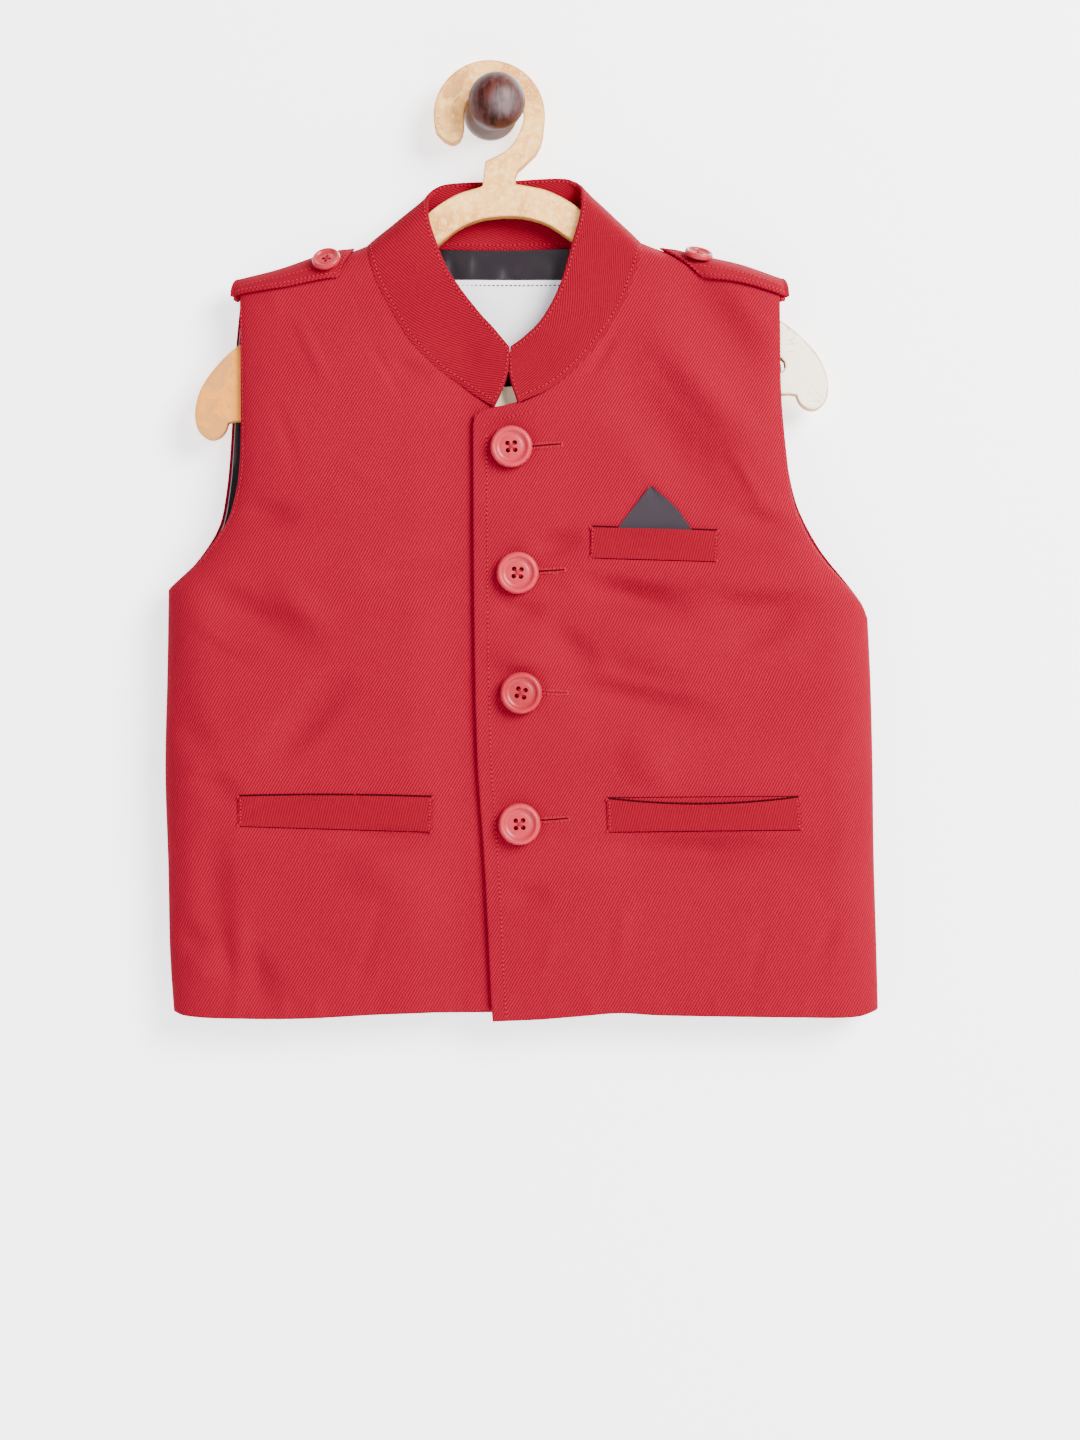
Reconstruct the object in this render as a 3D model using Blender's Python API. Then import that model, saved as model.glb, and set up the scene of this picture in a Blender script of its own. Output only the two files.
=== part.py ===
# Sleeveless stand-collar jacket on a flat wooden hanger, hung from a ball-ended wall peg.
# Lengths are in millimetres and become metres where a mesh is made.
# X runs to the wearer's left, Y into the wall and Z up. The wall is the plane y = 0.
# The peg's ball is centred on x = 0 and z = 0.
import math

import bmesh
import bpy
from mathutils import Matrix, Vector

MM = 0.001

# Driving dimensions
CLOTH = 1.6             # wall of a body panel
BAND = 2.0              # wall of the collar
LINING = 1.0
TAB = 1.7               # wall of a shoulder tab
WELT = 1.5
LABEL = 0.8
SQUARE = 1.2            # wall of the pocket square
GAP = 0.3               # between pieces that are sewn or laid together
LAY_GAP = 0.8           # under what lies on a folded panel
LINING_GAP = 0.9
BUTTON_GAP = 0.9        # a button's thread shank
SEAM_Y = -12.5          # plane where front and back meet
SIDE_ROLL = 22.0        # width of the rounding beside a side seam
TOP_ROLL = 12.0         # height of the rounding below a shoulder seam
TOP_ROLL_POWER = 3.2
ARMHOLE_FRONT_Y = -19.0
ARMHOLE_BACK_Y = -6.0
NECK_BACK_Y = -6.0
UNDER_DROP = 2.8        # how far the under front lies behind the over front
UNDER_FROM, UNDER_TO = -42.0, -13.0
BODY_HEIGHT = 370.0
BACK_LIMIT_Y = -2.2     # clearance from the wall
UNDERARM_V = 0.55       # height share where a side seam meets its armhole
ARMHOLE_EASE_V = 0.12   # height share in which the armhole opens above the side seam
NECK_EASE_U = 0.07      # width share in which the back's neckline leaves the shoulder seam
SEAM_FLAT_U, SEAM_FLAT_V = 0.03, 0.006
STAND_V, NECK_V = 0.76, 0.80
NECK_LEFT_U, NECK_RIGHT_U = 0.243, 0.735
COLLAR_GAP = 0.45
COLLAR_FOLD_GAP = 1.6    # more room where the collar turns over the shoulder seams
COLLAR_BULGE = 1.2
FRONT_FOLD_DEPTH = 1.35
NORMAL_STEP = 0.004

BUTTON_R, BUTTON_T = 10.0, 4.2
TAB_BUTTON_R, TAB_BUTTON_T = 6.9, 3.0
HANGER_BACK_Y, HANGER_T = -10.2, 7.4
HANGER_TURN = math.radians(2.8)
PEG_TURN = math.radians(7.0)
BALL_R, BALL_Y = 13.5, -29.0
STEM_R = 9.5
FLANGE_R = 12.9

# Depth of the body at each height: outside of the front and of the back
LEVELS = [
    # z, front y, back y
    (-440, -23.5, -4.5),
    (-400, -25.5, -3.8),
    (-340, -27.5, -3.4),
    (-280, -28.5, -3.2),
    (-210, -28.0, -3.4),
    (-150, -26.0, -3.8),
    (-90, -23.5, -4.4),
    (-60, -23.0, -4.8),
]

# Folds of the fronts: centre, direction in degrees, half length, half width, height towards the viewer
FRONT_FOLDS = [
    # x, z, turn, length, width, height
    (-114, -246, -29, 38, 9, -2.2),
    (-94, -238, -34, 22, 10, 1.3),
    (-109, -196, -10, 18, 9, -1.5),
    (-90, -293, 45, 34, 12, -1.5),
    (-39, -224, 3, 26, 8, -1.1),
    (-145, -301, -49, 16, 8, -1.6),
    (-134, -325, -27, 13, 7, -1.8),
    (-135, -374, -87, 34, 9, -1.6),
    (-119, -414, -50, 28, 12, -2.2),
    (-122, -408, -84, 26, 8, 1.4),
    (-146, -398, -40, 13, 8, -1.5),
    (-53, -368, -20, 26, 16, 1.3),
    (-51, -351, 0, 30, 8, -1.1),
    (-42, -128, -8, 14, 8, -1.0),
    (108, -106, -49, 40, 13, -2.8),
    (98, -135, -48, 52, 13, 2.6),
    (86, -161, -46, 42, 15, -2.5),
    (127, -200, -12, 22, 7, -2.2),
    (101, -225, -4, 58, 11, 1.5),
    (67, -237, -13, 38, 11, -2.5),
    (124, -241, 5, 34, 9, -1.7),
    (28, -210, 14, 16, 8, -1.7),
    (35, -260, -41, 18, 9, -2.0),
    (11, -265, -8, 19, 8, 1.3),
    (66, -285, -12, 50, 10, -2.1),
    (69, -256, -20, 46, 18, 1.5),
    (125, -253, 23, 22, 9, -1.4),
    (98, -357, -1, 66, 12, -2.5),
    (73, -314, -16, 18, 14, 1.3),
    (15, -378, 2, 13, 8, -1.1),
    (11, -242, -3, 14, 7, -1.4),
]

# Folds of the back: the same columns, raised away from the wearer
BACK_FOLDS = [
    (-110, -250, 28, 40, 12, -1.3),
    (120, -258, -26, 44, 13, -1.4),
    (-70, -120, -52, 44, 15, -1.0),
    (88, -128, 50, 46, 15, -1.1),
    (-96, -372, 80, 46, 16, -1.2),
    (14, -320, 88, 62, 20, 0.9),
    (104, -392, -74, 38, 15, -1.2),
    (-24, -404, 84, 30, 13, -0.9),
    (58, -226, -8, 46, 14, 0.8),
]

# Outlines in the x, z plane, each run from its lower or outer end
RIGHT_FRONT = {
    "hem": [(-155.5, -434), (-150, -435.4), (-132, -436.4), (-94, -436.6), (-55, -434.6),
            (-8, -433.1), (27, -432)],
    "side": [(-155.5, -434), (-157.4, -405), (-158.2, -365), (-159.6, -318), (-158.6, -270),
             (-158.2, -234)],
    "armhole": [(-158.2, -234), (-154.5, -228), (-143.5, -218.5), (-135.7, -208.3), (-129.5, -199),
                (-126.2, -189), (-124, -177), (-123, -158), (-123, -122), (-123.5, -84.5)],
    "edge": [(27, -432), (27, -300), (27, -152)],
    "stand": [(27, -152), (14, -150.5), (-1.9, -144)],
    "neck": [(-1.9, -144), (-15.2, -133.8), (-26.7, -125.4), (-39, -113), (-49.3, -96.3),
             (-56.7, -81), (-60.8, -65.5)],
    "shoulder": [(-123.5, -84.5), (-104, -79.5), (-84, -72.6), (-70, -69), (-60.8, -65.5)],
}
LEFT_FRONT = {
    "hem": [(183, -433), (172, -435.8), (144, -436), (78, -435), (58, -434), (39, -435.5),
            (20, -437), (-2.1, -437.9)],
    "side": [(183, -433), (182.3, -405), (181, -360), (180.4, -315), (179.4, -275), (178, -245)],
    "armhole": [(178, -245), (174.5, -237.5), (165.7, -227.4), (157.1, -217.9), (150.5, -208.3),
                (145.7, -198.8), (142, -189), (138.6, -165), (136.2, -138), (135.7, -108),
                (135.5, -84)],
    "edge": [(-2.1, -437.9), (-2.9, -428), (-6.2, -361), (-9.5, -313), (-11, -246), (-11.6, -153)],
    "stand": [(-11.6, -153), (-10.9, -149), (-8, -146.7), (1, -144.6), (11.4, -142.1)],
    "neck": [(11.4, -142.1), (26.2, -133.4), (39, -122), (50, -108.3), (57.6, -96), (62.4, -83.6),
             (65.7, -73.6), (67.2, -64)],
    "shoulder": [(135.5, -84), (116.5, -77.4), (97, -73), (80, -68.8), (67.2, -64)],
}
BACK = {
    "hem": [(-155.5, -434), (-140, -435.2), (-60, -435.6), (20, -435.2), (100, -435.6), (170, -434.6),
            (183, -433)],
    "left_armhole": [(-158.2, -234), (-155, -226.5), (-144.8, -216.8), (-134.8, -200.7),
                     (-131.3, -184.4), (-129.3, -164), (-126.5, -114), (-123.5, -84.5)],
    "right_armhole": [(178, -245), (175, -236.5), (167, -225.5), (158.8, -215.5), (152, -205),
                      (144.5, -189), (139.5, -165), (136.4, -138), (135.7, -108), (135.5, -84)],
    "neck": [(-60.8, -65.5), (-52, -66.6), (-30, -67.6), (3, -68), (36, -66.8), (58, -65), (67.2, -64)],
}

# Upper edge of the collar, by its share of the way round from the under front's end
COLLAR_TOP = [
    # share, x, y, z
    (0.00, 6.0, -27.6, -116.6),
    (0.06, -1.5, -27.2, -107.5),
    (0.12, -8.1, -26.2, -100.2),
    (0.19, -18.3, -24.6, -86.9),
    (0.25, -24.5, -23.2, -76.5),
    (0.31, -29.3, -22.6, -64.5),
    (0.345, -32.0, -22.6, -56.0),
    (0.368, -33.3, -20.6, -48.5),
    (0.385, -33.4, -14.5, -43.0),
    (0.42, -30.5, -8.5, -37.5),
    (0.455, -22.0, -6.2, -35.0),
    (0.50, 3.0, -5.6, -33.8),
    (0.545, 28.5, -6.2, -32.6),
    (0.58, 37.2, -8.5, -34.0),
    (0.615, 40.4, -14.5, -38.4),
    (0.632, 40.4, -20.6, -44.0),
    (0.655, 39.5, -22.6, -52.5),
    (0.70, 36.0, -22.6, -65.0),
    (0.76, 30.0, -23.6, -86.0),
    (0.83, 21.6, -24.4, -102.1),
    (0.91, 12.9, -24.8, -111.0),
    (1.00, 7.4, -24.8, -118.0),
]
COLLAR_LEFT, COLLAR_RIGHT = 0.385, 0.615

BUTTONS = [(6.9, -164.2), (9.9, -224.2), (11.6, -281.2), (10.8, -343.4)]

# Welts and patches: the four corners, and how far the free upper edge stands off
WELTS = {
    "welt_chest": {"corners": [(44.3, -216.9), (104.3, -218.8), (105, -204.2), (44.8, -202.4)],
                   "lift": 2.8, "crown": 0.0},
    "welt_lower_right": {"corners": [(-122.9, -344.4), (-31.3, -347.2), (-30.6, -330.8),
                                     (-122.9, -330.4)], "lift": 0.7, "crown": 0.8},
    "welt_lower_left": {"corners": [(52.7, -347.2), (144.9, -346.1), (143.8, -330.8),
                                    (52.3, -331.5)], "lift": 1.8, "crown": -3.0},
}
SQUARE_CORNERS = [(57.4, -203.2), (94.2, -204.4), (86.5, -193.5), (73.2, -182.4)]
LABEL_BOX = (-25.0, 38.0, -126.0, -81.5)

# Shoulder tabs: shares of the shoulder's length, from its outer end
TABS = {
    "tab_right": {"corner": 0.76, "tip": 0.885, "drop_outer": 7.0, "drop_inner": 11.5,
                  "button": (0.70, -0.42)},
    "tab_left": {"corner": 0.735, "tip": 0.83, "drop_outer": 7.0, "drop_inner": 10.5,
                 "button": (0.60, -0.42)},
}
TAB_TURN_DOWN = 4.0
TAB_CLEAR = 0.9
TAB_SPREAD = 1.4

# Half outline of the hanger's arms, and of its window, in the hanger's own upright frame
HANGER_ARM = [(10.0, -38.3), (22.0, -41.6), (35.3, -49.6), (46, -61.0), (56, -70.6), (68, -77.6),
              (92, -89.2), (117, -101.6), (131, -109.6), (141, -118.5), (148.2, -128), (151.4, -137),
              (151.6, -144.5), (149.6, -149.8), (145.3, -152.8), (140.6, -151.8), (137.6, -148.6),
              (136.4, -145.2)]
HANGER_BAR_Z = -144.6
HANGER_WINDOW = [(0, -52.8), (10, -53.6), (21, -57.4), (32.3, -65.6), (46, -76.4), (64, -88.6),
                 (90, -103.6), (114, -117.4), (127, -125), (131.6, -129.2), (131.0, -133.2),
                 (126, -134.4)]
HOOK_R, HOOK_STROKE = 13.3, 11.6
HOOK_CENTRE = (-1.9, -3.45)


class Curve:
    """A smooth curve through points, read by its share of the length."""

    def __init__(self, points):
        self.points = [Vector(p) for p in points]
        self.marks = [0.0]
        for a, b in zip(self.points, self.points[1:]):
            self.marks.append(self.marks[-1] + (b - a).length)
        self.marks = [m / self.marks[-1] for m in self.marks]

    def slope(self, i):
        a, b = max(0, i - 1), min(len(self.points) - 1, i + 1)
        return (self.points[b] - self.points[a]) / (self.marks[b] - self.marks[a])

    def at(self, t):
        t = min(1.0, max(0.0, t))
        i = 0
        while i < len(self.points) - 2 and t > self.marks[i + 1]:
            i += 1
        step = self.marks[i + 1] - self.marks[i]
        f = (t - self.marks[i]) / step
        return ((2 * f ** 3 - 3 * f ** 2 + 1) * self.points[i]
                + (f ** 3 - 2 * f ** 2 + f) * step * self.slope(i)
                + (3 * f ** 2 - 2 * f ** 3) * self.points[i + 1]
                + (f ** 3 - f ** 2) * step * self.slope(i + 1))


def chain(t, *parts):
    """A boundary made of curves that follow each other; each part is its curve and its last share."""
    start = 0.0
    for curve, end in parts:
        if t <= end or end == parts[-1][1]:
            return curve.at((t - start) / (end - start))
        start = end


def table(rows, key, column):
    """A value between the rows of a table, by its first column."""
    i = 0
    while i < len(rows) - 2 and key > rows[i + 1][0]:
        i += 1
    low, high = rows[i], rows[i + 1]
    f = min(1.0, max(0.0, (key - low[0]) / (high[0] - low[0])))
    f = f * f * (3 - 2 * f)
    return low[column] + (high[column] - low[column]) * f


def ramp(value, low, high):
    """0 below low, 1 above high, and an even rise between."""
    f = min(1.0, max(0.0, (value - low) / (high - low)))
    return f * f * (3 - 2 * f)


def quarter(share):
    """Rise of a quarter round."""
    return math.sqrt(1 - (1 - min(1.0, max(0.0, share))) ** 2)


def top_round(drop):
    """Rise of a shoulder's rounding, a height below its seam."""
    return 1 - (1 - min(1.0, max(0.0, drop / TOP_ROLL))) ** TOP_ROLL_POWER


def fold_height(rows, x, z):
    total = 0.0
    for fx, fz, turn, length, width, height in rows:
        dx, dz = x - fx, z - fz
        c, s = math.cos(math.radians(turn)), math.sin(math.radians(turn))
        along, across = (dx * c + dz * s) / length, (dz * c - dx * s) / width
        if abs(along) < 1 and abs(across) < 1:
            total += height * (1 - along * along) ** 2 * (1 - across * across) ** 2
    return total


def patch(u, v, bottom, top, left, right):
    """Point inside four boundaries, each a function of its share."""
    corners = ((1 - u) * (1 - v) * bottom(0) + u * (1 - v) * bottom(1)
               + (1 - u) * v * top(0) + u * v * top(1))
    return (1 - v) * bottom(u) + v * top(u) + (1 - u) * left(v) + u * right(v) - corners


def front_face(x, z):
    """Depth of the over front away from its rolled sides."""
    return table(LEVELS, z, 1) - FRONT_FOLD_DEPTH * fold_height(FRONT_FOLDS, x, z)


class Front:
    """One front: u runs from its side to its edge, v from the hem to the shoulder."""

    def __init__(self, outline, under):
        self.curves = {name: Curve(points) for name, points in outline.items()}
        self.under = under

    def side(self, v):
        return chain(v, (self.curves["side"], UNDERARM_V), (self.curves["armhole"], 1.0))

    def edge(self, v):
        return chain(v, (self.curves["edge"], STAND_V), (self.curves["stand"], NECK_V),
                     (self.curves["neck"], 1.0))

    def at(self, u, v):
        place = patch(u, v, self.curves["hem"].at, self.curves["shoulder"].at, self.side, self.edge)
        x, z = place
        seam = SEAM_Y - GAP / 2
        face = front_face(x, z)
        if self.under:
            face += UNDER_DROP * ramp(x, UNDER_FROM, UNDER_TO)
        open_share = quarter((v - UNDERARM_V) / ARMHOLE_EASE_V)
        border = seam + (ARMHOLE_FRONT_Y - seam) * open_share
        y = border + (face - border) * quarter(abs(x - self.side(v).x) / SIDE_ROLL)
        drop = self.curves["shoulder"].at(u).y - z
        y = seam + (y - seam) * top_round(drop)
        return Vector((x, y, z))

    def flat(self, u, v):
        """How much of the wall's depth direction is left beside a seam."""
        side = 1.0 if v > UNDERARM_V + 0.02 else ramp(u, 0.0, SEAM_FLAT_U)
        return min(side, ramp(1 - v, 0.0, SEAM_FLAT_V))


class Back:
    """The back: u runs from the wearer's right to the left, v from the hem to the top."""

    def __init__(self, right_front, left_front):
        self.curves = {name: Curve(points) for name, points in BACK.items()}
        self.fronts = (right_front, left_front)

    def left(self, v):
        return chain(v, (self.fronts[0].curves["side"], UNDERARM_V), (self.curves["left_armhole"], 1.0))

    def right(self, v):
        return chain(v, (self.fronts[1].curves["side"], UNDERARM_V), (self.curves["right_armhole"], 1.0))

    def top(self, u):
        if u <= NECK_LEFT_U:
            return self.fronts[0].curves["shoulder"].at(u / NECK_LEFT_U)
        if u >= NECK_RIGHT_U:
            return self.fronts[1].curves["shoulder"].at((1 - u) / (1 - NECK_RIGHT_U))
        return self.curves["neck"].at((u - NECK_LEFT_U) / (NECK_RIGHT_U - NECK_LEFT_U))

    def top_depth(self, u):
        """Depth along the upper edge: the seam at the shoulders, further back behind the neck."""
        inside = min(u - NECK_LEFT_U, NECK_RIGHT_U - u)
        return SEAM_Y + GAP / 2 + (NECK_BACK_Y - SEAM_Y - GAP / 2) * quarter(inside / NECK_EASE_U)

    def at(self, u, v):
        x, z = patch(u, v, self.curves["hem"].at, self.top, self.left, self.right)
        seam = SEAM_Y + GAP / 2
        face = table(LEVELS, z, 2) + fold_height(BACK_FOLDS, x, z)
        open_share = quarter((v - UNDERARM_V) / ARMHOLE_EASE_V)
        border = seam + (ARMHOLE_BACK_Y - seam) * open_share
        reach = min(x - self.left(v).x, self.right(v).x - x)
        y = border + (face - border) * quarter(reach / SIDE_ROLL)
        top = self.top_depth(u)
        y = top + (y - top) * top_round(self.top(u).y - z)
        return Vector((x, min(y, BACK_LIMIT_Y), z))

    def flat(self, u, v):
        side = 1.0 if v > UNDERARM_V + 0.02 else ramp(min(u, 1 - u), 0.0, SEAM_FLAT_U)
        shoulder = 1.0 if NECK_LEFT_U < u < NECK_RIGHT_U else ramp(1 - v, 0.0, SEAM_FLAT_V)
        return min(side, shoulder)


def inward(surface, u, v, towards):
    """Unit direction off a surface on the side of a given direction, kept in the seam's plane
    beside a seam."""
    u0, u1 = max(0.0, u - NORMAL_STEP), min(1.0, u + NORMAL_STEP)
    v0, v1 = max(0.0, v - NORMAL_STEP), min(1.0, v + NORMAL_STEP)
    along = surface.at(u1, v) - surface.at(u0, v)
    up = surface.at(u, v1) - surface.at(u, v0)
    normal = along.cross(up).normalized()
    if normal.dot(towards) < 0:
        normal = -normal
    normal.y *= surface.flat(u, v)
    return normal.normalized()


def body_middle(point):
    """Direction from a point of the body to the middle of its hollow."""
    return Vector((12 - point.x, 12 * (-15 - point.y), min(0.0, -140 - point.z)))


def off(surface, u, v, out):
    """Point a distance outside a surface, or inside it where the distance is negative."""
    place = surface.at(u, v)
    return place - inward(surface, u, v, body_middle(place)) * out


def material(name, colour, roughness, metallic=0.0):
    mat = bpy.data.materials.new(name)
    mat.use_nodes = True
    shader = mat.node_tree.nodes["Principled BSDF"]
    shader.inputs["Base Color"].default_value = (*colour, 1)
    shader.inputs["Roughness"].default_value = roughness
    shader.inputs["Metallic"].default_value = metallic
    mat.diffuse_color = (*colour, 1)
    return mat


def finish(name, bm, mat, smooth=40):
    """Turn a mesh in millimetres into a named object in metres."""
    bmesh.ops.scale(bm, vec=(MM, MM, MM), verts=bm.verts)
    bmesh.ops.recalc_face_normals(bm, faces=bm.faces)
    mesh = bpy.data.meshes.new(name)
    bm.to_mesh(mesh)
    bm.free()
    mesh.materials.append(mat)
    mesh.shade_smooth()
    mesh.set_sharp_from_angle(angle=math.radians(smooth))
    obj = bpy.data.objects.new(name, mesh)
    bpy.context.collection.objects.link(obj)
    return obj


def wall(name, columns, rows, outer, inner, mat):
    """A closed sheet of cloth: a flat grid is given a second side, and both are mapped."""
    bm = bmesh.new()
    wide, high = len(columns) - 1, len(rows) - 1
    bmesh.ops.create_grid(bm, x_segments=wide, y_segments=high, size=0.5)
    first = bm.verts[:]
    made = bmesh.ops.extrude_face_region(bm, geom=bm.verts[:] + bm.edges[:] + bm.faces[:],
                                         use_keep_orig=True)
    second = [item for item in made["geom"] if isinstance(item, bmesh.types.BMVert)]
    for verts, place in ((first, outer), (second, inner)):
        for vert in verts:
            column = columns[round((vert.co.x + 0.5) * wide)]
            row = rows[round((vert.co.y + 0.5) * high)]
            vert.co = place(column, row)
    return finish(name, bm, mat)


def spread(start, end, count):
    return [start + (end - start) * i / count for i in range(1, count + 1)]


def rolled(width, count):
    """Shares of a width across a quarter round, closer at its outer end."""
    return [width * (1 - math.cos(math.pi / 2 * i / count)) for i in range(count + 1)]


def body_rows(count_low, count_high):
    """Height shares of a body panel: closer at the front's stand and under the shoulder."""
    roll = [1 - share for share in reversed(rolled(0.034, 4))]
    return ([0.0] + spread(0.0, STAND_V, count_low) + spread(STAND_V, NECK_V, 2)
            + spread(NECK_V, roll[0], count_high)[:-1] + roll)


def front_panel(name, front, mat):
    columns = rolled(0.12, 3) + spread(0.12, 1.0, 16)
    return wall(name, columns, body_rows(18, 5),
                front.at, lambda u, v: off(front, u, v, -CLOTH), mat)


def back_columns():
    roll = rolled(0.075, 3)
    return (roll + spread(roll[-1], NECK_LEFT_U, 4) + spread(NECK_LEFT_U, NECK_RIGHT_U, 9)
            + spread(NECK_RIGHT_U, 1 - roll[-1], 4) + [1 - u for u in reversed(roll[:-1])])


def back_panel(back, mat):
    return wall("back", back_columns(), body_rows(12, 4), back.at,
                lambda u, v: off(back, u, v, -CLOTH), mat)


def lining(back, mat):
    """The lining follows the back's inside, a seam's width from its side seams."""
    def share(v, u):
        in_neck = ramp(u, NECK_LEFT_U + 0.02, NECK_LEFT_U + 0.07) * ramp(
            1 - u, 1 - NECK_RIGHT_U + 0.02, 1 - NECK_RIGHT_U + 0.07)
        return 0.004 + v * (0.964 + 0.028 * in_neck)

    def place(depth):
        return lambda u, v: off(back, u, share(v, u), -depth)

    columns = [0.012] + [u for u in back_columns() if 0.012 < u < 0.988] + [0.988]
    rows = [0.0] + spread(0.0, 0.9, 10) + [0.94, 0.97, 1.0]
    start = CLOTH + LINING_GAP
    return wall("back_lining", columns, rows, place(start), place(start + LINING), mat)


def label(back, mat):
    """Neck label on the lining, placed by its box in x and z."""
    low_x, high_x, low_z, high_z = LABEL_BOX

    def place(depth):
        def point(s, t):
            x, z = low_x + (high_x - low_x) * s, low_z + (high_z - low_z) * t
            face = table(LEVELS, z, 2) + fold_height(BACK_FOLDS, x, z)
            top = NECK_BACK_Y + (face - NECK_BACK_Y) * top_round(BACK["neck"][3][1] - z)
            return Vector((x, top - depth, z))
        return point

    start = CLOTH + LINING_GAP + LINING + 2 * GAP
    shares = [0.0] + spread(0.0, 1.0, 6)
    return wall("neck_label", shares, [0.0] + spread(0.0, 1.0, 4), place(start),
                place(start + LABEL), mat)


class Collar:
    """The collar band: u runs round the neck, v from its seam to its upper edge."""

    def __init__(self, right_front, left_front, back):
        self.pieces = (right_front, left_front, back)
        self.rows = COLLAR_TOP

    def top(self, u):
        i = 0
        while i < len(self.rows) - 2 and u > self.rows[i + 1][0]:
            i += 1
        step = self.rows[i + 1][0] - self.rows[i][0]
        f = (u - self.rows[i][0]) / step

        def point(k):
            return Vector(self.rows[k][1:])

        def slope(k):
            a, b = max(0, k - 1), min(len(self.rows) - 1, k + 1)
            return (point(b) - point(a)) / (self.rows[b][0] - self.rows[a][0])

        return ((2 * f ** 3 - 3 * f ** 2 + 1) * point(i) + (f ** 3 - 2 * f ** 2 + f) * step * slope(i)
                + (3 * f ** 2 - 2 * f ** 3) * point(i + 1) + (f ** 3 - f ** 2) * step * slope(i + 1))

    def seam(self, u):
        right_front, left_front, back = self.pieces
        if u <= COLLAR_LEFT:
            return right_front.at(1.0, NECK_V + (1 - NECK_V) * u / COLLAR_LEFT)
        if u >= COLLAR_RIGHT:
            return left_front.at(1.0, NECK_V + (1 - NECK_V) * (1 - u) / (1 - COLLAR_RIGHT))
        share = (u - COLLAR_LEFT) / (COLLAR_RIGHT - COLLAR_LEFT)
        return back.at(NECK_LEFT_U + (NECK_RIGHT_U - NECK_LEFT_U) * share, 1.0)

    def at(self, u, v):
        low, high = self.seam(u), self.top(u)
        rise = high - low
        turn = min(abs(u - COLLAR_LEFT), abs(u - COLLAR_RIGHT))
        low = low + rise.normalized() * (COLLAR_GAP + COLLAR_FOLD_GAP * ramp(0.07 - turn, 0.0, 0.07))
        middle = Vector((4, -15, -60))
        bulge = (low + high) / 2 - middle
        bulge.z = 0
        return low.lerp(high, v) + bulge.normalized() * COLLAR_BULGE * 4 * v * (1 - v)

    def flat(self, u, v):
        return 1.0


def collar_inside(band, u, v, depth):
    """The inside of the band; its lower edge is cut level, to clear the seam that it stands on."""
    place = band.at(u, v)
    direction = inward(band, u, v, Vector((4 - place.x, 2 * (-14 - place.y), -20)))
    direction.z *= ramp(v, 0.0, 0.4)
    return place + direction.normalized() * depth


def collar(band, mat):
    columns = ([0.0] + spread(0.0, 0.33, 11) + spread(0.33, 0.46, 8) + spread(0.46, 0.54, 3)
               + spread(0.54, 0.67, 8) + spread(0.67, 1.0, 11))
    rows = [0.0, 0.3, 0.65, 1.0]
    return wall("collar", columns, rows, band.at,
                lambda u, v: collar_inside(band, u, v, BAND), mat)


def on_corners(corners, s, t, crown=0.0):
    """Point of a four-cornered patch in x and z, its upper edge raised in the middle."""
    a, b, c, d = (Vector(p) for p in corners)
    point = a.lerp(b, s).lerp(d.lerp(c, s), t)
    point.y += crown * t * 4 * s * (1 - s)
    return point


def welt(name, spec, mat):
    """A pocket's welt lies on the front and stands off a little along its free upper edge."""
    def place(extra):
        def point(s, t):
            x, z = on_corners(spec["corners"], s, t, spec["crown"])
            out = LAY_GAP + spec["lift"] * t * t * math.sin(math.pi * (0.1 + 0.8 * s))
            return Vector((x, front_face(x, z) - out - extra, z))
        return point

    columns = [0.0] + spread(0.0, 1.0, 10)
    return wall(name, columns, [0.0, 0.35, 0.7, 1.0], place(WELT), place(0.0), mat)


def pocket_square(mat):
    def place(extra):
        def point(s, t):
            low, high = Vector(SQUARE_CORNERS[0]), Vector(SQUARE_CORNERS[1])
            tip, bend = Vector(SQUARE_CORNERS[3]), Vector(SQUARE_CORNERS[2])
            edge = high.lerp(bend, 2 * t) if t < 0.5 else bend.lerp(tip, 2 * t - 1)
            x, z = low.lerp(tip, t).lerp(edge, s)
            return Vector((x, front_face(x, z) - LAY_GAP - extra, z))
        return point

    shares = [0.0] + spread(0.0, 1.0, 4)
    return wall("pocket_square", shares, [0.0, 0.2, 0.5, 0.75, 0.96], place(SQUARE), place(0.0), mat)


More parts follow.
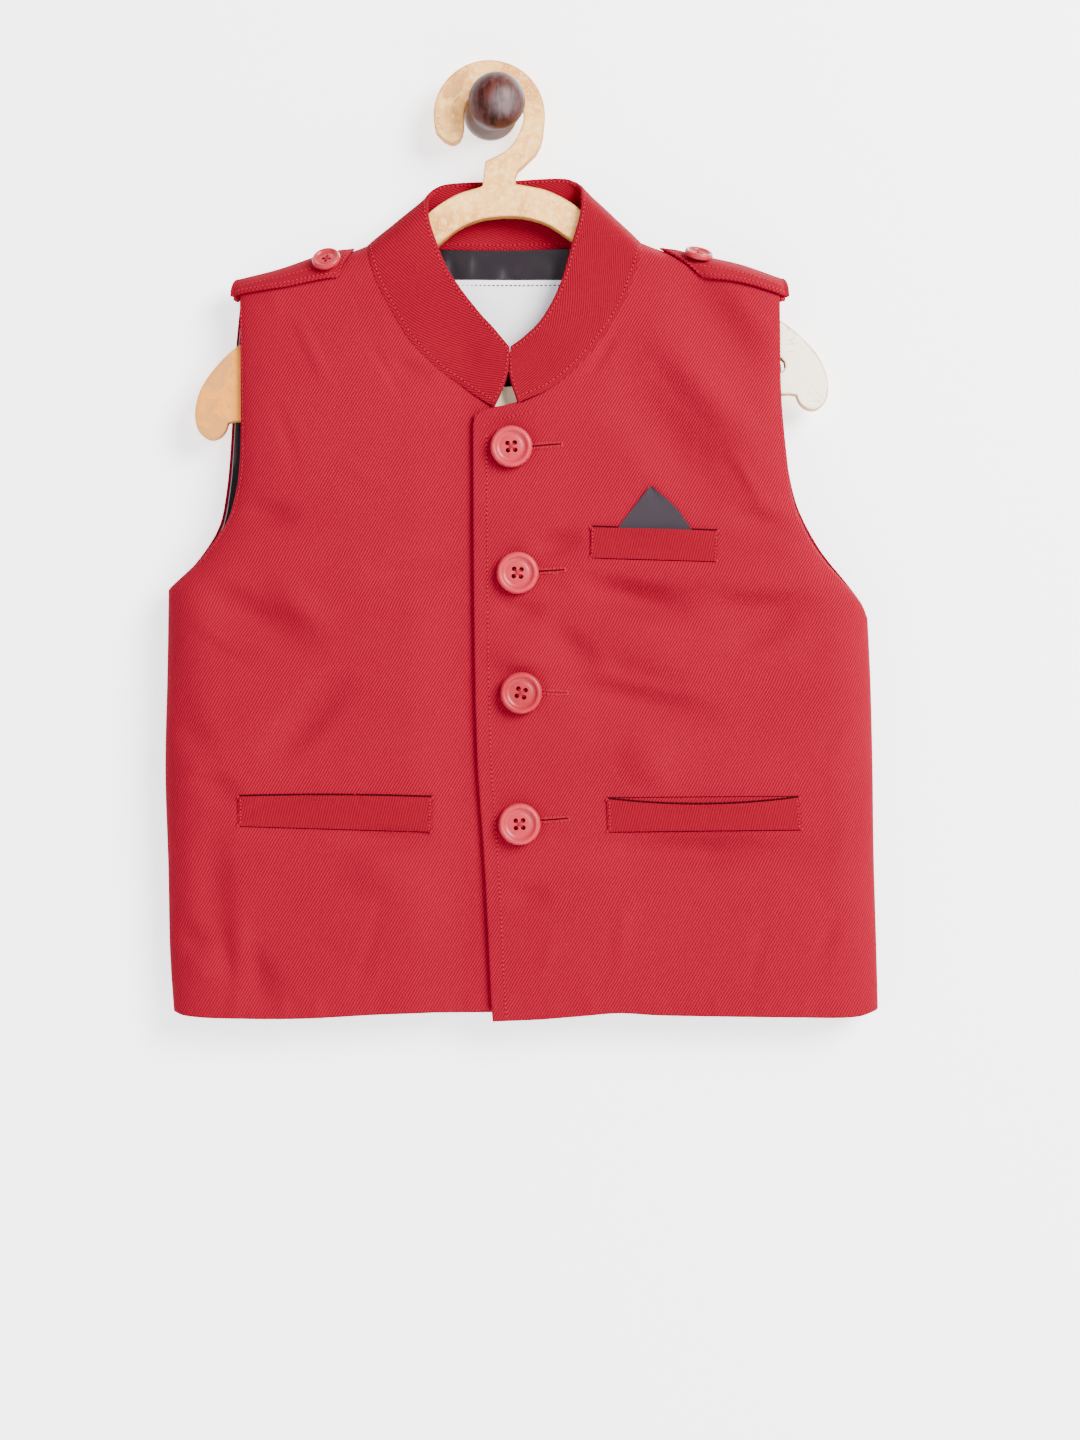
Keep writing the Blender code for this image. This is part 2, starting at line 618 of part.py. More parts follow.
class Tab:
    """A shoulder tab: s runs from its outer end to its point, w from its front to its rear edge."""

    def __init__(self, front, back, spec, left):
        self.front, self.back, self.spec, self.left = front, back, spec, left

    def base(self, s, w, out):
        """Point a distance outside the shoulder. Below s = 0 the tab turns down over the edge."""
        share = max(0.0, s) * (self.spec["corner"]
                               + (self.spec["tip"] - self.spec["corner"]) * (1 - abs(w)))
        drop = self.spec["drop_outer"] + (self.spec["drop_inner"] - self.spec["drop_outer"]) * share
        v = 1 - abs(w) ** TAB_SPREAD * drop / BODY_HEIGHT
        back_u = (1 - share * (1 - NECK_RIGHT_U)) if self.left else share * NECK_LEFT_U
        if w < 0:
            surface, u = self.front, share
        else:
            surface, u = self.back, back_u
        place = surface.at(u, v)
        normal = -inward(surface, u, v, body_middle(place))
        if w == 0:
            place = Vector((place.x, SEAM_Y, place.z))
            normal = Vector((normal.x, 0, normal.z)).normalized()
        if s >= 0:
            return place + normal * out
        outward = Vector((1 if self.left else -1, 0, -0.2)).normalized()
        turn = min(1.0, -s / 0.5) * math.pi / 2
        down = max(0.0, (-s - 0.5) / 0.5) * TAB_TURN_DOWN
        reach = out + TAB_CLEAR * math.sin(turn)
        return place + (normal * math.cos(turn) + outward * math.sin(turn)) * reach - normal * down

    def make(self, name, mat):
        columns = [-1.0, -0.5, -0.33, -0.17] + [0.0] + spread(0.0, 1.0, 8)
        rows = [-1.0, -0.75, -0.45, -0.2, 0.0, 0.25, 0.6, 1.0]
        return wall(name, columns, rows, lambda s, w: self.base(s, w, LAY_GAP + TAB),
                    lambda s, w: self.base(s, w, LAY_GAP), mat)


def turned(bm, profile, steps):
    """Spin a profile of radius and height round Z."""
    verts = [bm.verts.new((r, 0, h)) for r, h in profile]
    edges = [bm.edges.new(pair) for pair in zip(verts, verts[1:])]
    bmesh.ops.spin(bm, geom=verts + edges, cent=(0, 0, 0), axis=(0, 0, 1),
                   angle=2 * math.pi, steps=steps, use_merge=True)
    bmesh.ops.remove_doubles(bm, verts=bm.verts, dist=0.001)


def button(name, radius, thickness, place, turn, mat):
    """A dished button with a round rim and four holes, its back at z = 0 before it is placed."""
    rim, dish = 0.16 * radius, 0.42 * thickness
    profile = [(0, 0), (0.82 * radius, 0), (radius, 0.45 * thickness),
               (radius - 0.35 * rim, 0.9 * thickness), (radius - rim, thickness),
               (radius - 1.9 * rim, 0.9 * thickness), (radius - 2.7 * rim, thickness - dish),
               (0, thickness - dish)]
    bm = bmesh.new()
    turned(bm, profile, 16)
    bmesh.ops.transform(bm, matrix=Matrix.Translation(place) @ turn, verts=bm.verts)
    obj = finish(name, bm, mat, 50)
    hole, spacing = 0.11 * radius, 0.17 * radius
    for i in range(4):
        cut = bmesh.new()
        bmesh.ops.create_cone(cut, cap_ends=True, segments=6, radius1=hole, radius2=hole,
                              depth=3 * thickness)
        at = Vector((spacing * (1 if i % 2 else -1), spacing * (1 if i > 1 else -1), 0))
        bmesh.ops.transform(cut, matrix=Matrix.Translation(place) @ turn @ Matrix.Translation(at),
                            verts=cut.verts)
        cutter = finish(f"{name}_hole_{i + 1}", cut, mat)
        cutter.hide_render = True
        cutter.display_type = "WIRE"
        modifier = obj.modifiers.new(f"hole_{i + 1}", "BOOLEAN")
        modifier.operation = "DIFFERENCE"
        modifier.object = cutter
    return obj


def front_button(number, centre, mat):
    """A button stands just clear of the most forward cloth under it."""
    x, z = centre
    ring = [(r * math.cos(a), r * math.sin(a)) for r in (0.0, 3.5, 7.0, 9.8)
            for a in [math.pi / 6 * k for k in range(12)]]
    depth = min(front_face(x + dx, z + dz) for dx, dz in ring) - BUTTON_GAP
    return button(f"button_{number}", BUTTON_R, BUTTON_T, Vector((x, depth, z)),
                  Matrix.Rotation(math.pi / 2, 4, "X"), mat)


def tab_button(name, tab, mat):
    """A tab's button faces up and forward, square to the tab below it."""
    s, w = tab.spec["button"]
    low, high = tab.base(s, w, LAY_GAP + TAB), tab.base(s, w, LAY_GAP + TAB + 1)
    normal = (high - low).normalized()
    turn = normal.to_track_quat("Z", "Y").to_matrix().to_4x4()
    return button(name, TAB_BUTTON_R, TAB_BUTTON_T, low + normal * (GAP + 0.25), turn, mat)


def hook_outline():
    """The hook's outline in the hanger's frame, from the neck's left side round to its right."""
    outer = HOOK_R + HOOK_STROKE
    middle = Vector(HOOK_CENTRE)

    def arc(radius, start, end, count):
        angles = [math.radians(start + (end - start) * i / count) for i in range(count + 1)]
        return [middle + Vector((radius * math.cos(a), radius * math.sin(a))) for a in angles]

    tip = [Vector((-21.5, -17.8)), Vector((-17.6, -18.3)), Vector((-14.8, -14.4))]
    left_neck = [Vector((-7.4, -37.6)), Vector((-7.0, -26.5))]
    right_neck = [Vector((8.6, -31.0)), Vector((8.4, -37.8))]
    inside = [Vector((-1.5, -24.6)), Vector((5.5, -21.6)), Vector((10.6, -14.5))]
    rim = arc(HOOK_R, -12, 186, 14)
    outside = arc(outer - 0.9, 196, 90, 9) + arc(outer - 1.6, 78, -38, 9)
    return left_neck + inside + rim + tip[::-1] + outside + right_neck


def hanger(mat):
    """A flat board: hook, arms and bar in one outline, with one window."""
    arm = Curve(HANGER_ARM)
    right = [arm.at(i / 44) for i in range(45)]
    right.append(Vector((133.5, HANGER_BAR_Z)))
    window = Curve(HANGER_WINDOW)
    hole = [window.at(i / 30) for i in range(31)]
    loops = [hook_outline() + right + [Vector((-p.x, p.y)) for p in reversed(right)],
             hole + [Vector((-p.x, p.y)) for p in reversed(hole[1:])]]
    bm = bmesh.new()
    for loop in loops:
        verts = [bm.verts.new((p.x, HANGER_BACK_Y, p.y)) for p in loop]
        for a, b in zip(verts, verts[1:] + verts[:1]):
            bm.edges.new((a, b))
    bmesh.ops.triangle_fill(bm, use_beauty=True, use_dissolve=False, edges=bm.edges[:])
    made = bmesh.ops.extrude_face_region(bm, geom=bm.verts[:] + bm.edges[:] + bm.faces[:],
                                         use_keep_orig=True)
    front = [item for item in made["geom"] if isinstance(item, bmesh.types.BMVert)]
    bmesh.ops.translate(bm, vec=(0, -HANGER_T, 0), verts=front)
    bmesh.ops.rotate(bm, cent=(0, 0, 0), matrix=Matrix.Rotation(-HANGER_TURN, 3, "Y"), verts=bm.verts)
    return finish("hanger", bm, mat)


def wall_peg(mat):
    """A turned peg: a flat flange on the wall, a groove, a stem and a ball."""
    meet = math.acos(STEM_R / BALL_R)
    profile = [(0, 2.0), (FLANGE_R, 2.0), (FLANGE_R, -3.4), (FLANGE_R - 1.2, -4.6), (STEM_R, -5.6)]
    angles = [meet - (meet + math.pi / 2) * i / 9 for i in range(10)]
    profile += [(BALL_R * math.cos(a), BALL_Y + BALL_R * math.sin(a)) for a in angles[:-1]]
    profile.append((0, BALL_Y - BALL_R))
    bm = bmesh.new()
    turned(bm, profile, 20)
    stand = Matrix.Rotation(-math.pi / 2, 4, "X")
    lean = (Matrix.Translation((0, BALL_Y, 0)) @ Matrix.Rotation(PEG_TURN, 4, "Z")
            @ Matrix.Translation((0, -BALL_Y, 0)))
    bmesh.ops.transform(bm, matrix=lean @ stand, verts=bm.verts)
    cut = bmesh.ops.bisect_plane(bm, geom=bm.verts[:] + bm.edges[:] + bm.faces[:], dist=0.001,
                                 plane_co=(0, 0, 0), plane_no=(0, 1, 0), clear_outer=True)
    rim = [item for item in cut["geom_cut"] if isinstance(item, bmesh.types.BMEdge)]
    bmesh.ops.contextual_create(bm, geom=rim)
    return finish("wall_peg", bm, mat)


def build():
    for obj in list(bpy.data.objects):
        bpy.data.objects.remove(obj, do_unlink=True)

    red = (0.56, 0.03, 0.045)
    right_front, left_front = Front(RIGHT_FRONT, True), Front(LEFT_FRONT, False)
    back = Back(right_front, left_front)
    front_panel("front_right", right_front, material("cotton_right_front", red, 0.85))
    front_panel("front_left", left_front, material("cotton_left_front", red, 0.85))
    back_panel(back, material("cotton_back", red, 0.85))
    lining(back, material("satin_lining", (0.02, 0.018, 0.022), 0.4))
    label(back, material("label_tape", (0.86, 0.86, 0.88), 0.8))
    collar(Collar(right_front, left_front, back), material("cotton_collar", red, 0.85))
    for name, spec in WELTS.items():
        welt(name, spec, material(f"cotton_{name}", red, 0.85))
    pocket_square(material("square_cloth", (0.1, 0.085, 0.1), 0.8))
    for number, centre in enumerate(BUTTONS, 1):
        front_button(number, centre, material(f"button_{number}_plastic", (0.78, 0.12, 0.12), 0.25))
    for name, front in (("tab_right", right_front), ("tab_left", left_front)):
        tab = Tab(front, back, TABS[name], front is left_front)
        tab.make(name, material(f"cotton_{name}", red, 0.85))
        tab_button(f"{name}_button", tab, material(f"{name}_plastic", (0.72, 0.08, 0.09), 0.25))
    hanger(material("painted_wood", (0.82, 0.7, 0.5), 0.6))
    wall_peg(material("stained_wood", (0.1, 0.03, 0.025), 0.4))


build()
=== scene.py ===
import math
import random

import bmesh
import bpy
import numpy as np
from mathutils import Matrix, Vector


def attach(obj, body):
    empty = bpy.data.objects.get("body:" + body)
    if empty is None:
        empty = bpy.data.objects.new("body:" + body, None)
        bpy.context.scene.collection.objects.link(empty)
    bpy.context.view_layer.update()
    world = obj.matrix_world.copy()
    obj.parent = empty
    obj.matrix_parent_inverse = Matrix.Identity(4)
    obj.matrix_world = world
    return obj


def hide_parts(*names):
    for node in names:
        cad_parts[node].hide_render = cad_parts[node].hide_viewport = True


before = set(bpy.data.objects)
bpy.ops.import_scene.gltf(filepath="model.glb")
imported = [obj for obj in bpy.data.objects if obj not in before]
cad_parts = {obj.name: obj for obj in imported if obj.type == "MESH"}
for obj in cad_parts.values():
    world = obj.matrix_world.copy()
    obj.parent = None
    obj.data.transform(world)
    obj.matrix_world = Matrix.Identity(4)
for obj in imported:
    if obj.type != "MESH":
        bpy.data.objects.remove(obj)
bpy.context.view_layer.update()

# Sleeveless stand-collar jacket on a flat wooden hanger and a turned wall peg.
# Places are worked out in millimetres and become metres when a piece is finished.
# x runs to the wearer's left, y into the wall, z up, and the wall is y = 0.
mm = 0.001
chance = random.Random(11)


# shapes that pieces share

class Line:
    # a smooth curve through points, read by its share of the length
    def __init__(self, points, marks=None):
        self.points = np.array(points, float)
        gaps = np.linalg.norm(np.diff(self.points, axis=0), axis=1)
        self.length = gaps.sum()
        self.marks = np.concatenate([[0.0], np.cumsum(gaps)]) / self.length
        if marks is not None:
            self.marks = np.array(marks, float)
        last = len(self.points) - 1
        low = np.maximum(np.arange(last + 1) - 1, 0)
        high = np.minimum(np.arange(last + 1) + 1, last)
        rise = self.points[high] - self.points[low]
        self.slopes = rise / (self.marks[high] - self.marks[low])[:, None]

    def at(self, t):
        t = np.clip(np.asarray(t, float), 0, 1)
        i = np.clip(np.searchsorted(self.marks, t) - 1, 0, len(self.marks) - 2)
        step = self.marks[i + 1] - self.marks[i]
        f = ((t - self.marks[i]) / step)[..., None]
        step = step[..., None]
        return ((2 * f ** 3 - 3 * f ** 2 + 1) * self.points[i]
                + (f ** 3 - 2 * f ** 2 + f) * step * self.slopes[i]
                + (3 * f ** 2 - 2 * f ** 3) * self.points[i + 1]
                + (f ** 3 - f ** 2) * step * self.slopes[i + 1])


def joined(t, *parts):
    # curves that follow each other; each part is its curve and its last share
    t = np.asarray(t, float)
    out = None
    start = 0.0
    for line, end in parts:
        piece = line.at((t - start) / (end - start))
        out = piece if out is None else np.where((t > start)[..., None], piece, out)
        start = end
    return out


def ramp(value, low, high):
    f = np.clip((np.asarray(value, float) - low) / (high - low), 0, 1)
    return f * f * (3 - 2 * f)


def quarter(share):
    return np.sqrt(1 - (1 - np.clip(share, 0, 1)) ** 2)


def unit(a):
    return a / np.maximum(np.linalg.norm(a, axis=-1, keepdims=True), 1e-9)


def creaseHeight(rows, x, z):
    # rows are x, z, turn in degrees, half length, half width, height
    total = np.zeros_like(x)
    for cx, cz, turn, length, width, height in rows:
        c, s = math.cos(math.radians(turn)), math.sin(math.radians(turn))
        along = ((x - cx) * c + (z - cz) * s) / length
        across = ((z - cz) * c - (x - cx) * s) / width
        total += height * np.clip(1 - along ** 2, 0, None) ** 2 * np.clip(1 - across ** 2, 0, None) ** 2
    return total


def scattered(count, left, right, low, high, turn, turnSpread, length, width, height):
    # small creases strewn over a region, no two alike
    rows = []
    for _ in range(count):
        rows.append((chance.uniform(left, right), chance.uniform(low, high),
                     turn + chance.uniform(-turnSpread, turnSpread),
                     length * chance.uniform(0.5, 1.5), width * chance.uniform(0.6, 1.5),
                     height * chance.uniform(-1, 1)))
    return rows


def rolled(width, count):
    return [width * (1 - math.cos(math.pi / 2 * i / count)) for i in range(count + 1)]


def shares(*groups):
    # sorted shares from several lists, none closer than a hair
    out = []
    for value in sorted(v for group in groups for v in group):
        if not out or value - out[-1] > 0.0006:
            out.append(value)
    out[-1] = 1.0
    return out


def even(start, end, count):
    return [start + (end - start) * i / count for i in range(count + 1)]


def meshFrom(name, bm):
    mesh = bpy.data.meshes.new(name)
    bm.to_mesh(mesh)
    bm.free()
    return mesh


def putIn(name, data):
    thing = bpy.data.objects.new(name, data)
    bpy.context.scene.collection.objects.link(thing)
    return thing


def finishPiece(name, bm, finish, replaces=(), smooth=45, second=None):
    bmesh.ops.scale(bm, vec=(mm, mm, mm), verts=bm.verts)
    mesh = meshFrom(name, bm)
    mesh.materials.append(finish)
    if second:
        mesh.materials.append(second)
    mesh.shade_smooth()
    mesh.set_sharp_from_angle(angle=math.radians(smooth))
    piece = putIn(name, mesh)
    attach(piece, "root")
    for node in replaces:
        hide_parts(node)
    return piece


def clothLength(table, axis):
    # running length along a table of points
    gaps = np.linalg.norm(np.diff(table, axis=axis), axis=-1)
    start = np.zeros_like(np.take(gaps, [0], axis=axis))
    return np.concatenate([start, np.cumsum(gaps, axis=axis)], axis=axis)


def clothWall(outer, inner, weave):
    # a closed sheet: a flat grid gets a second side, and both are laid on tables of points
    high, wide = outer.shape[0] - 1, outer.shape[1] - 1
    bm = bmesh.new()
    layer = bm.verts.layers.float_vector.new("clothPlace")
    sides = bm.verts.layers.int.new("clothSide")
    uv = bm.loops.layers.uv.new("cloth")
    bmesh.ops.create_grid(bm, x_segments=wide, y_segments=high, size=0.5)
    first = bm.verts[:]
    made = bmesh.ops.extrude_face_region(bm, geom=bm.verts[:] + bm.edges[:] + bm.faces[:],
                                         use_keep_orig=True)
    second = [item for item in made["geom"] if isinstance(item, bmesh.types.BMVert)]
    for verts, table, side in ((first, outer, 0), (second, inner, 1)):
        for vert in verts:
            column = round((vert.co.x + 0.5) * wide)
            row = round((vert.co.y + 0.5) * high)
            vert.co = Vector(table[row, column])
            vert[layer] = (weave[row, column, 0] * mm, weave[row, column, 1] * mm, column / wide)
            vert[sides] = side
    bmesh.ops.recalc_face_normals(bm, faces=bm.faces)
    for face in bm.faces:
        for loop in face.loops:
            loop[uv].uv = loop.vert[layer].xy
    return bm


def rimShare(distance, reach=0.9):
    # how far a wall's two faces draw together beside a free edge
    return 0.34 * (1 - quarter(distance / reach))


# the body's surface

body = {
    "cloth": 1.6, "seamY": -12.5, "seamLap": 0.15,
    "sideRoll": 22.0, "topRoll": 12.0, "topRollPower": 3.2,
    "armholeFrontY": -19.0, "armholeBackY": -6.0, "neckBackY": -6.0,
    "underDrop": 2.8, "underFrom": -42.0, "underTo": -13.0,
    "height": 370.0, "backLimitY": -2.2, "underarm": 0.55, "armholeEase": 0.12,
    "neckEase": 0.07, "stand": 0.76, "neck": 0.80, "neckLeft": 0.243, "neckRight": 0.735,
    "foldDepth": 2.15, "fineDepth": 1.8,
}

# z, front y, back y
levels = np.array([
    (-440, -23.5, -4.5), (-400, -25.5, -3.8), (-340, -27.5, -3.4), (-280, -28.5, -3.2),
    (-210, -28.0, -3.4), (-150, -26.0, -3.8), (-90, -23.5, -4.4), (-60, -23.0, -4.8),
], float)

frontFolds = [
    (-114, -246, -29, 42, 12, -1.9), (-94, -238, -34, 22, 10, 1.3), (-109, -196, -10, 18, 9, -1.5),
    (-90, -293, 45, 34, 12, -1.5), (-39, -224, 3, 26, 8, -1.1), (-145, -301, -49, 18, 10, -1.2),
    (-134, -325, -27, 16, 9, -1.3), (-135, -374, -87, 38, 12, -1.3), (-119, -414, -50, 30, 14, -1.7),
    (-122, -408, -84, 26, 8, 1.4), (-146, -398, -40, 13, 8, -1.5), (-53, -368, -20, 26, 16, 1.3),
    (-51, -351, 0, 30, 8, -1.1), (-42, -128, -8, 14, 8, -1.0), (108, -108, -49, 48, 17, -2.0),
    (98, -135, -48, 52, 13, 2.0), (84, -163, -46, 52, 20, -2.3), (127, -200, -12, 22, 8, -1.5),
    (101, -225, -4, 58, 11, 1.5), (67, -237, -13, 38, 11, -2.5), (124, -241, 5, 34, 9, -1.7),
    (28, -210, 14, 16, 8, -1.7), (35, -260, -41, 20, 10, -1.2), (11, -265, -8, 19, 8, 1.3),
    (66, -285, -12, 50, 10, -2.1), (69, -256, -20, 46, 18, 1.5), (125, -253, 23, 22, 9, -1.4),
    (98, -357, -1, 66, 12, -2.5), (73, -314, -16, 18, 14, 1.3), (15, -378, 2, 13, 8, -1.1),
    (11, -242, -3, 14, 7, -1.4),
]

backFolds = [
    (-110, -250, 28, 40, 12, -1.3), (120, -258, -26, 44, 13, -1.4), (-70, -120, -52, 44, 15, -1.0),
    (88, -128, 50, 46, 15, -1.1), (-96, -372, 80, 46, 16, -1.2), (14, -320, 88, 62, 20, 0.9),
    (104, -392, -74, 38, 15, -1.2), (-24, -404, 84, 30, 13, -0.9), (58, -226, -8, 46, 14, 0.8),
]

# narrow creases and puckers, in millimetres of height
fineCreases = [
    (-24, -176, 6, 15, 3.2, -0.35), (-20, -236, -10, 17, 3.4, 0.4), (-26, -292, 8, 18, 3.6, -0.35),
    (-24, -352, -4, 18, 3.4, 0.35), (26, -172, 16, 13, 3.0, 0.3), (30, -232, -22, 16, 3.4, -0.5),
    (30, -290, 12, 15, 3.0, 0.35), (31, -350, -10, 14, 3.2, -0.35), (41, -222, 12, 14, 4.0, 0.6),
    (-136, -252, -34, 18, 4.0, 0.7), (-128, -262, -24, 20, 4.2, -0.6), (-146, -286, -44, 12, 3.2, -0.7),
    (-142, -318, -22, 11, 3.4, 0.6), (-140, -338, 12, 12, 3.2, -0.5), (-143, -412, -52, 13, 3.6, 0.7),
    (152, -262, 18, 15, 4.0, -0.6), (160, -300, 62, 18, 4.2, -0.6), (164, -352, 78, 22, 4.0, 0.5),
    (158, -396, 66, 20, 4.4, -0.6), (112, -262, -6, 26, 4.0, 0.5), (70, -272, -14, 30, 4.2, -0.5),
    (50, -120, 58, 20, 4.2, -0.5), (-52, -128, -56, 20, 4.0, -0.4), (-88, -118, -64, 24, 5.0, 0.5),
    (-100, -160, -72, 26, 5.0, -0.4), (-62, -178, -30, 22, 4.6, 0.4), (120, -180, -58, 22, 4.6, 0.6),
    (-80, -330, 20, 26, 5.0, 0.4), (-60, -400, 74, 26, 5.0, -0.4), (60, -396, 82, 26, 5.4, 0.5),
    (124, -406, 74, 22, 5.0, -0.5), (24, -406, 78, 20, 4.4, 0.35),
]
fineCreases += scattered(46, -150, -12, -425, -95, -20, 60, 12, 4.2, 0.28)
fineCreases += scattered(52, 4, 175, -425, -90, -24, 60, 12, 4.2, 0.30)
fineCreases += [(x + chance.uniform(-3, 3), -431 + chance.uniform(-2, 2), 90 + chance.uniform(-14, 14),
                 chance.uniform(7, 15), chance.uniform(2.6, 4.6), chance.uniform(-0.35, 0.35))
                for x in range(-150, 180, 8)]

backCreases = [
    (-60, -150, -30, 34, 8, -0.7), (70, -160, 26, 36, 8, -0.7), (10, -205, 4, 60, 9, 0.6),
    (-40, -275, 12, 52, 9, -0.6), (92, -300, -18, 42, 8, -0.6), (-120, -310, 64, 30, 7, -0.7),
    (140, -330, -66, 34, 7, -0.7), (30, -385, 84, 40, 8, 0.6),
]
backCreases += scattered(60, -145, 170, -425, -90, 0, 70, 16, 5.0, 0.3)

rightFront = {
    "hem": [(-155.5, -434), (-150, -435.4), (-132, -436.4), (-94, -436.6), (-55, -434.6),
            (-8, -433.1), (27, -432)],
    "side": [(-155.5, -434), (-157.4, -405), (-158.2, -365), (-159.6, -318), (-158.6, -270),
             (-158.0, -231.2)],
    "armhole": [(-158.0, -231.2), (-154.2, -227.8), (-143.5, -218.5), (-135.7, -208.3), (-129.5, -199),
                (-126.2, -189), (-124, -177), (-123, -158), (-123, -122), (-123.5, -84.5)],
    "edge": [(27, -432), (27, -300), (27, -152)],
    "stand": [(27, -152), (14, -150.5), (-1.9, -144)],
    "neck": [(-1.9, -144), (-15.2, -133.8), (-26.7, -125.4), (-39, -113), (-49.3, -96.3),
             (-56.7, -81), (-60.8, -65.5)],
    "shoulder": [(-123.5, -84.5), (-104, -79.5), (-84, -72.6), (-70, -69), (-60.8, -65.5)],
}
leftFront = {
    "hem": [(183, -433), (172, -435.8), (144, -436), (78, -435), (58, -434), (39, -435.5),
            (20, -437), (-2.1, -437.9)],
    "side": [(183, -433), (182.3, -405), (181, -360), (180.4, -315), (179.4, -275), (178, -245)],
    "armhole": [(178, -245), (174.5, -237.5), (165.7, -227.4), (157.1, -217.9), (150.5, -208.3),
                (145.7, -198.8), (142, -189), (138.6, -165), (136.2, -138), (135.7, -108),
                (135.5, -84)],
    "edge": [(-2.1, -437.9), (-2.9, -428), (-6.2, -361), (-9.5, -313), (-11, -246), (-11.6, -153)],
    "stand": [(-11.6, -153), (-10.9, -149), (-8, -146.7), (1, -144.6), (11.4, -142.1)],
    "neck": [(11.4, -142.1), (26.2, -133.4), (39, -122), (50, -108.3), (57.6, -96), (62.4, -83.6),
             (65.7, -73.6), (67.2, -64)],
    "shoulder": [(135.5, -84), (116.5, -77.4), (97, -73), (80, -68.8), (67.2, -64)],
}
backCut = {
    "hem": [(-155.5, -434), (-140, -435.2), (-60, -435.6), (20, -435.2), (100, -435.6), (170, -434.6),
            (183, -433)],
    "leftArmhole": [(-158.0, -231.2), (-154.6, -226.8), (-144.8, -216.8), (-134.8, -200.7),
                    (-131.3, -184.4), (-129.3, -164), (-126.5, -114), (-123.5, -84.5)],
    "rightArmhole": [(178, -245), (175, -236.5), (167, -225.5), (158.8, -215.5), (152, -205),
                     (144.5, -189), (139.5, -165), (136.4, -138), (135.7, -108), (135.5, -84)],
    "neck": [(-60.8, -65.5), (-52, -65.7), (-30, -66.0), (3, -66.3), (36, -65.4), (58, -64.4),
             (67.2, -64)],
}


def levelDepth(z, column):
    i = np.clip(np.searchsorted(levels[:, 0], z) - 1, 0, len(levels) - 2)
    f = np.clip((z - levels[i, 0]) / (levels[i + 1, 0] - levels[i, 0]), 0, 1)
    f = f * f * (3 - 2 * f)
    return levels[i, column] + (levels[i + 1, column] - levels[i, column]) * f


def topRound(drop):
    return 1 - (1 - np.clip(drop / body["topRoll"], 0, 1)) ** body["topRollPower"]


def coons(u, v, bottom, top, left, right):
    a, b = u[..., None], v[..., None]
    zero, one = np.zeros_like(u), np.ones_like(u)
    corners = ((1 - a) * (1 - b) * bottom(zero) + a * (1 - b) * bottom(one)
               + (1 - a) * b * top(zero) + a * b * top(one))
    return (1 - b) * bottom(u) + b * top(u) + (1 - a) * left(v) + a * right(v) - corners


def frontFace(x, z):
    return (levelDepth(z, 1) - body["foldDepth"] * creaseHeight(frontFolds, x, z)
            - body["fineDepth"] * creaseHeight(fineCreases, x, z))


class FrontSurface:
    # u runs from the side to the front edge, v from the hem to the shoulder
    def __init__(self, cut, under):
        self.lines = {name: Line(points) for name, points in cut.items()}
        self.under = under

    def side(self, v):
        return joined(v, (self.lines["side"], body["underarm"]), (self.lines["armhole"], 1.0))

    def edge(self, v):
        return joined(v, (self.lines["edge"], body["stand"]), (self.lines["stand"], body["neck"]),
                      (self.lines["neck"], 1.0))

    def at(self, u, v):
        place = coons(u, v, self.lines["hem"].at, self.lines["shoulder"].at, self.side, self.edge)
        x, z = place[..., 0], place[..., 1]
        seam = body["seamY"] + body["seamLap"]
        face = frontFace(x, z)
        if self.under:
            face = face + body["underDrop"] * ramp(x, body["underFrom"], body["underTo"])
        openShare = quarter((v - body["underarm"]) / body["armholeEase"])
        border = seam + (body["armholeFrontY"] - seam) * openShare
        reach = np.abs(x - self.side(v)[..., 0])
        y = border + (face - border) * quarter(reach / body["sideRoll"])
        y = seam + (y - seam) * topRound(self.lines["shoulder"].at(u)[..., 1] - z)
        return np.stack([x, y, z], -1)

    def flat(self, u, v):
        side = np.where(v > body["underarm"] + 0.02, 1.0, ramp(u, 0.0, 0.03))
        return np.minimum(side, ramp(1 - v, 0.0, 0.006))

    def rim(self, u, v):
        # distance from the free edges: hem, armhole, front edge and neck
        free = np.minimum((1 - u) * 170, v * body["height"])
        return np.where(v > body["underarm"], np.minimum(free, u * 150), free)


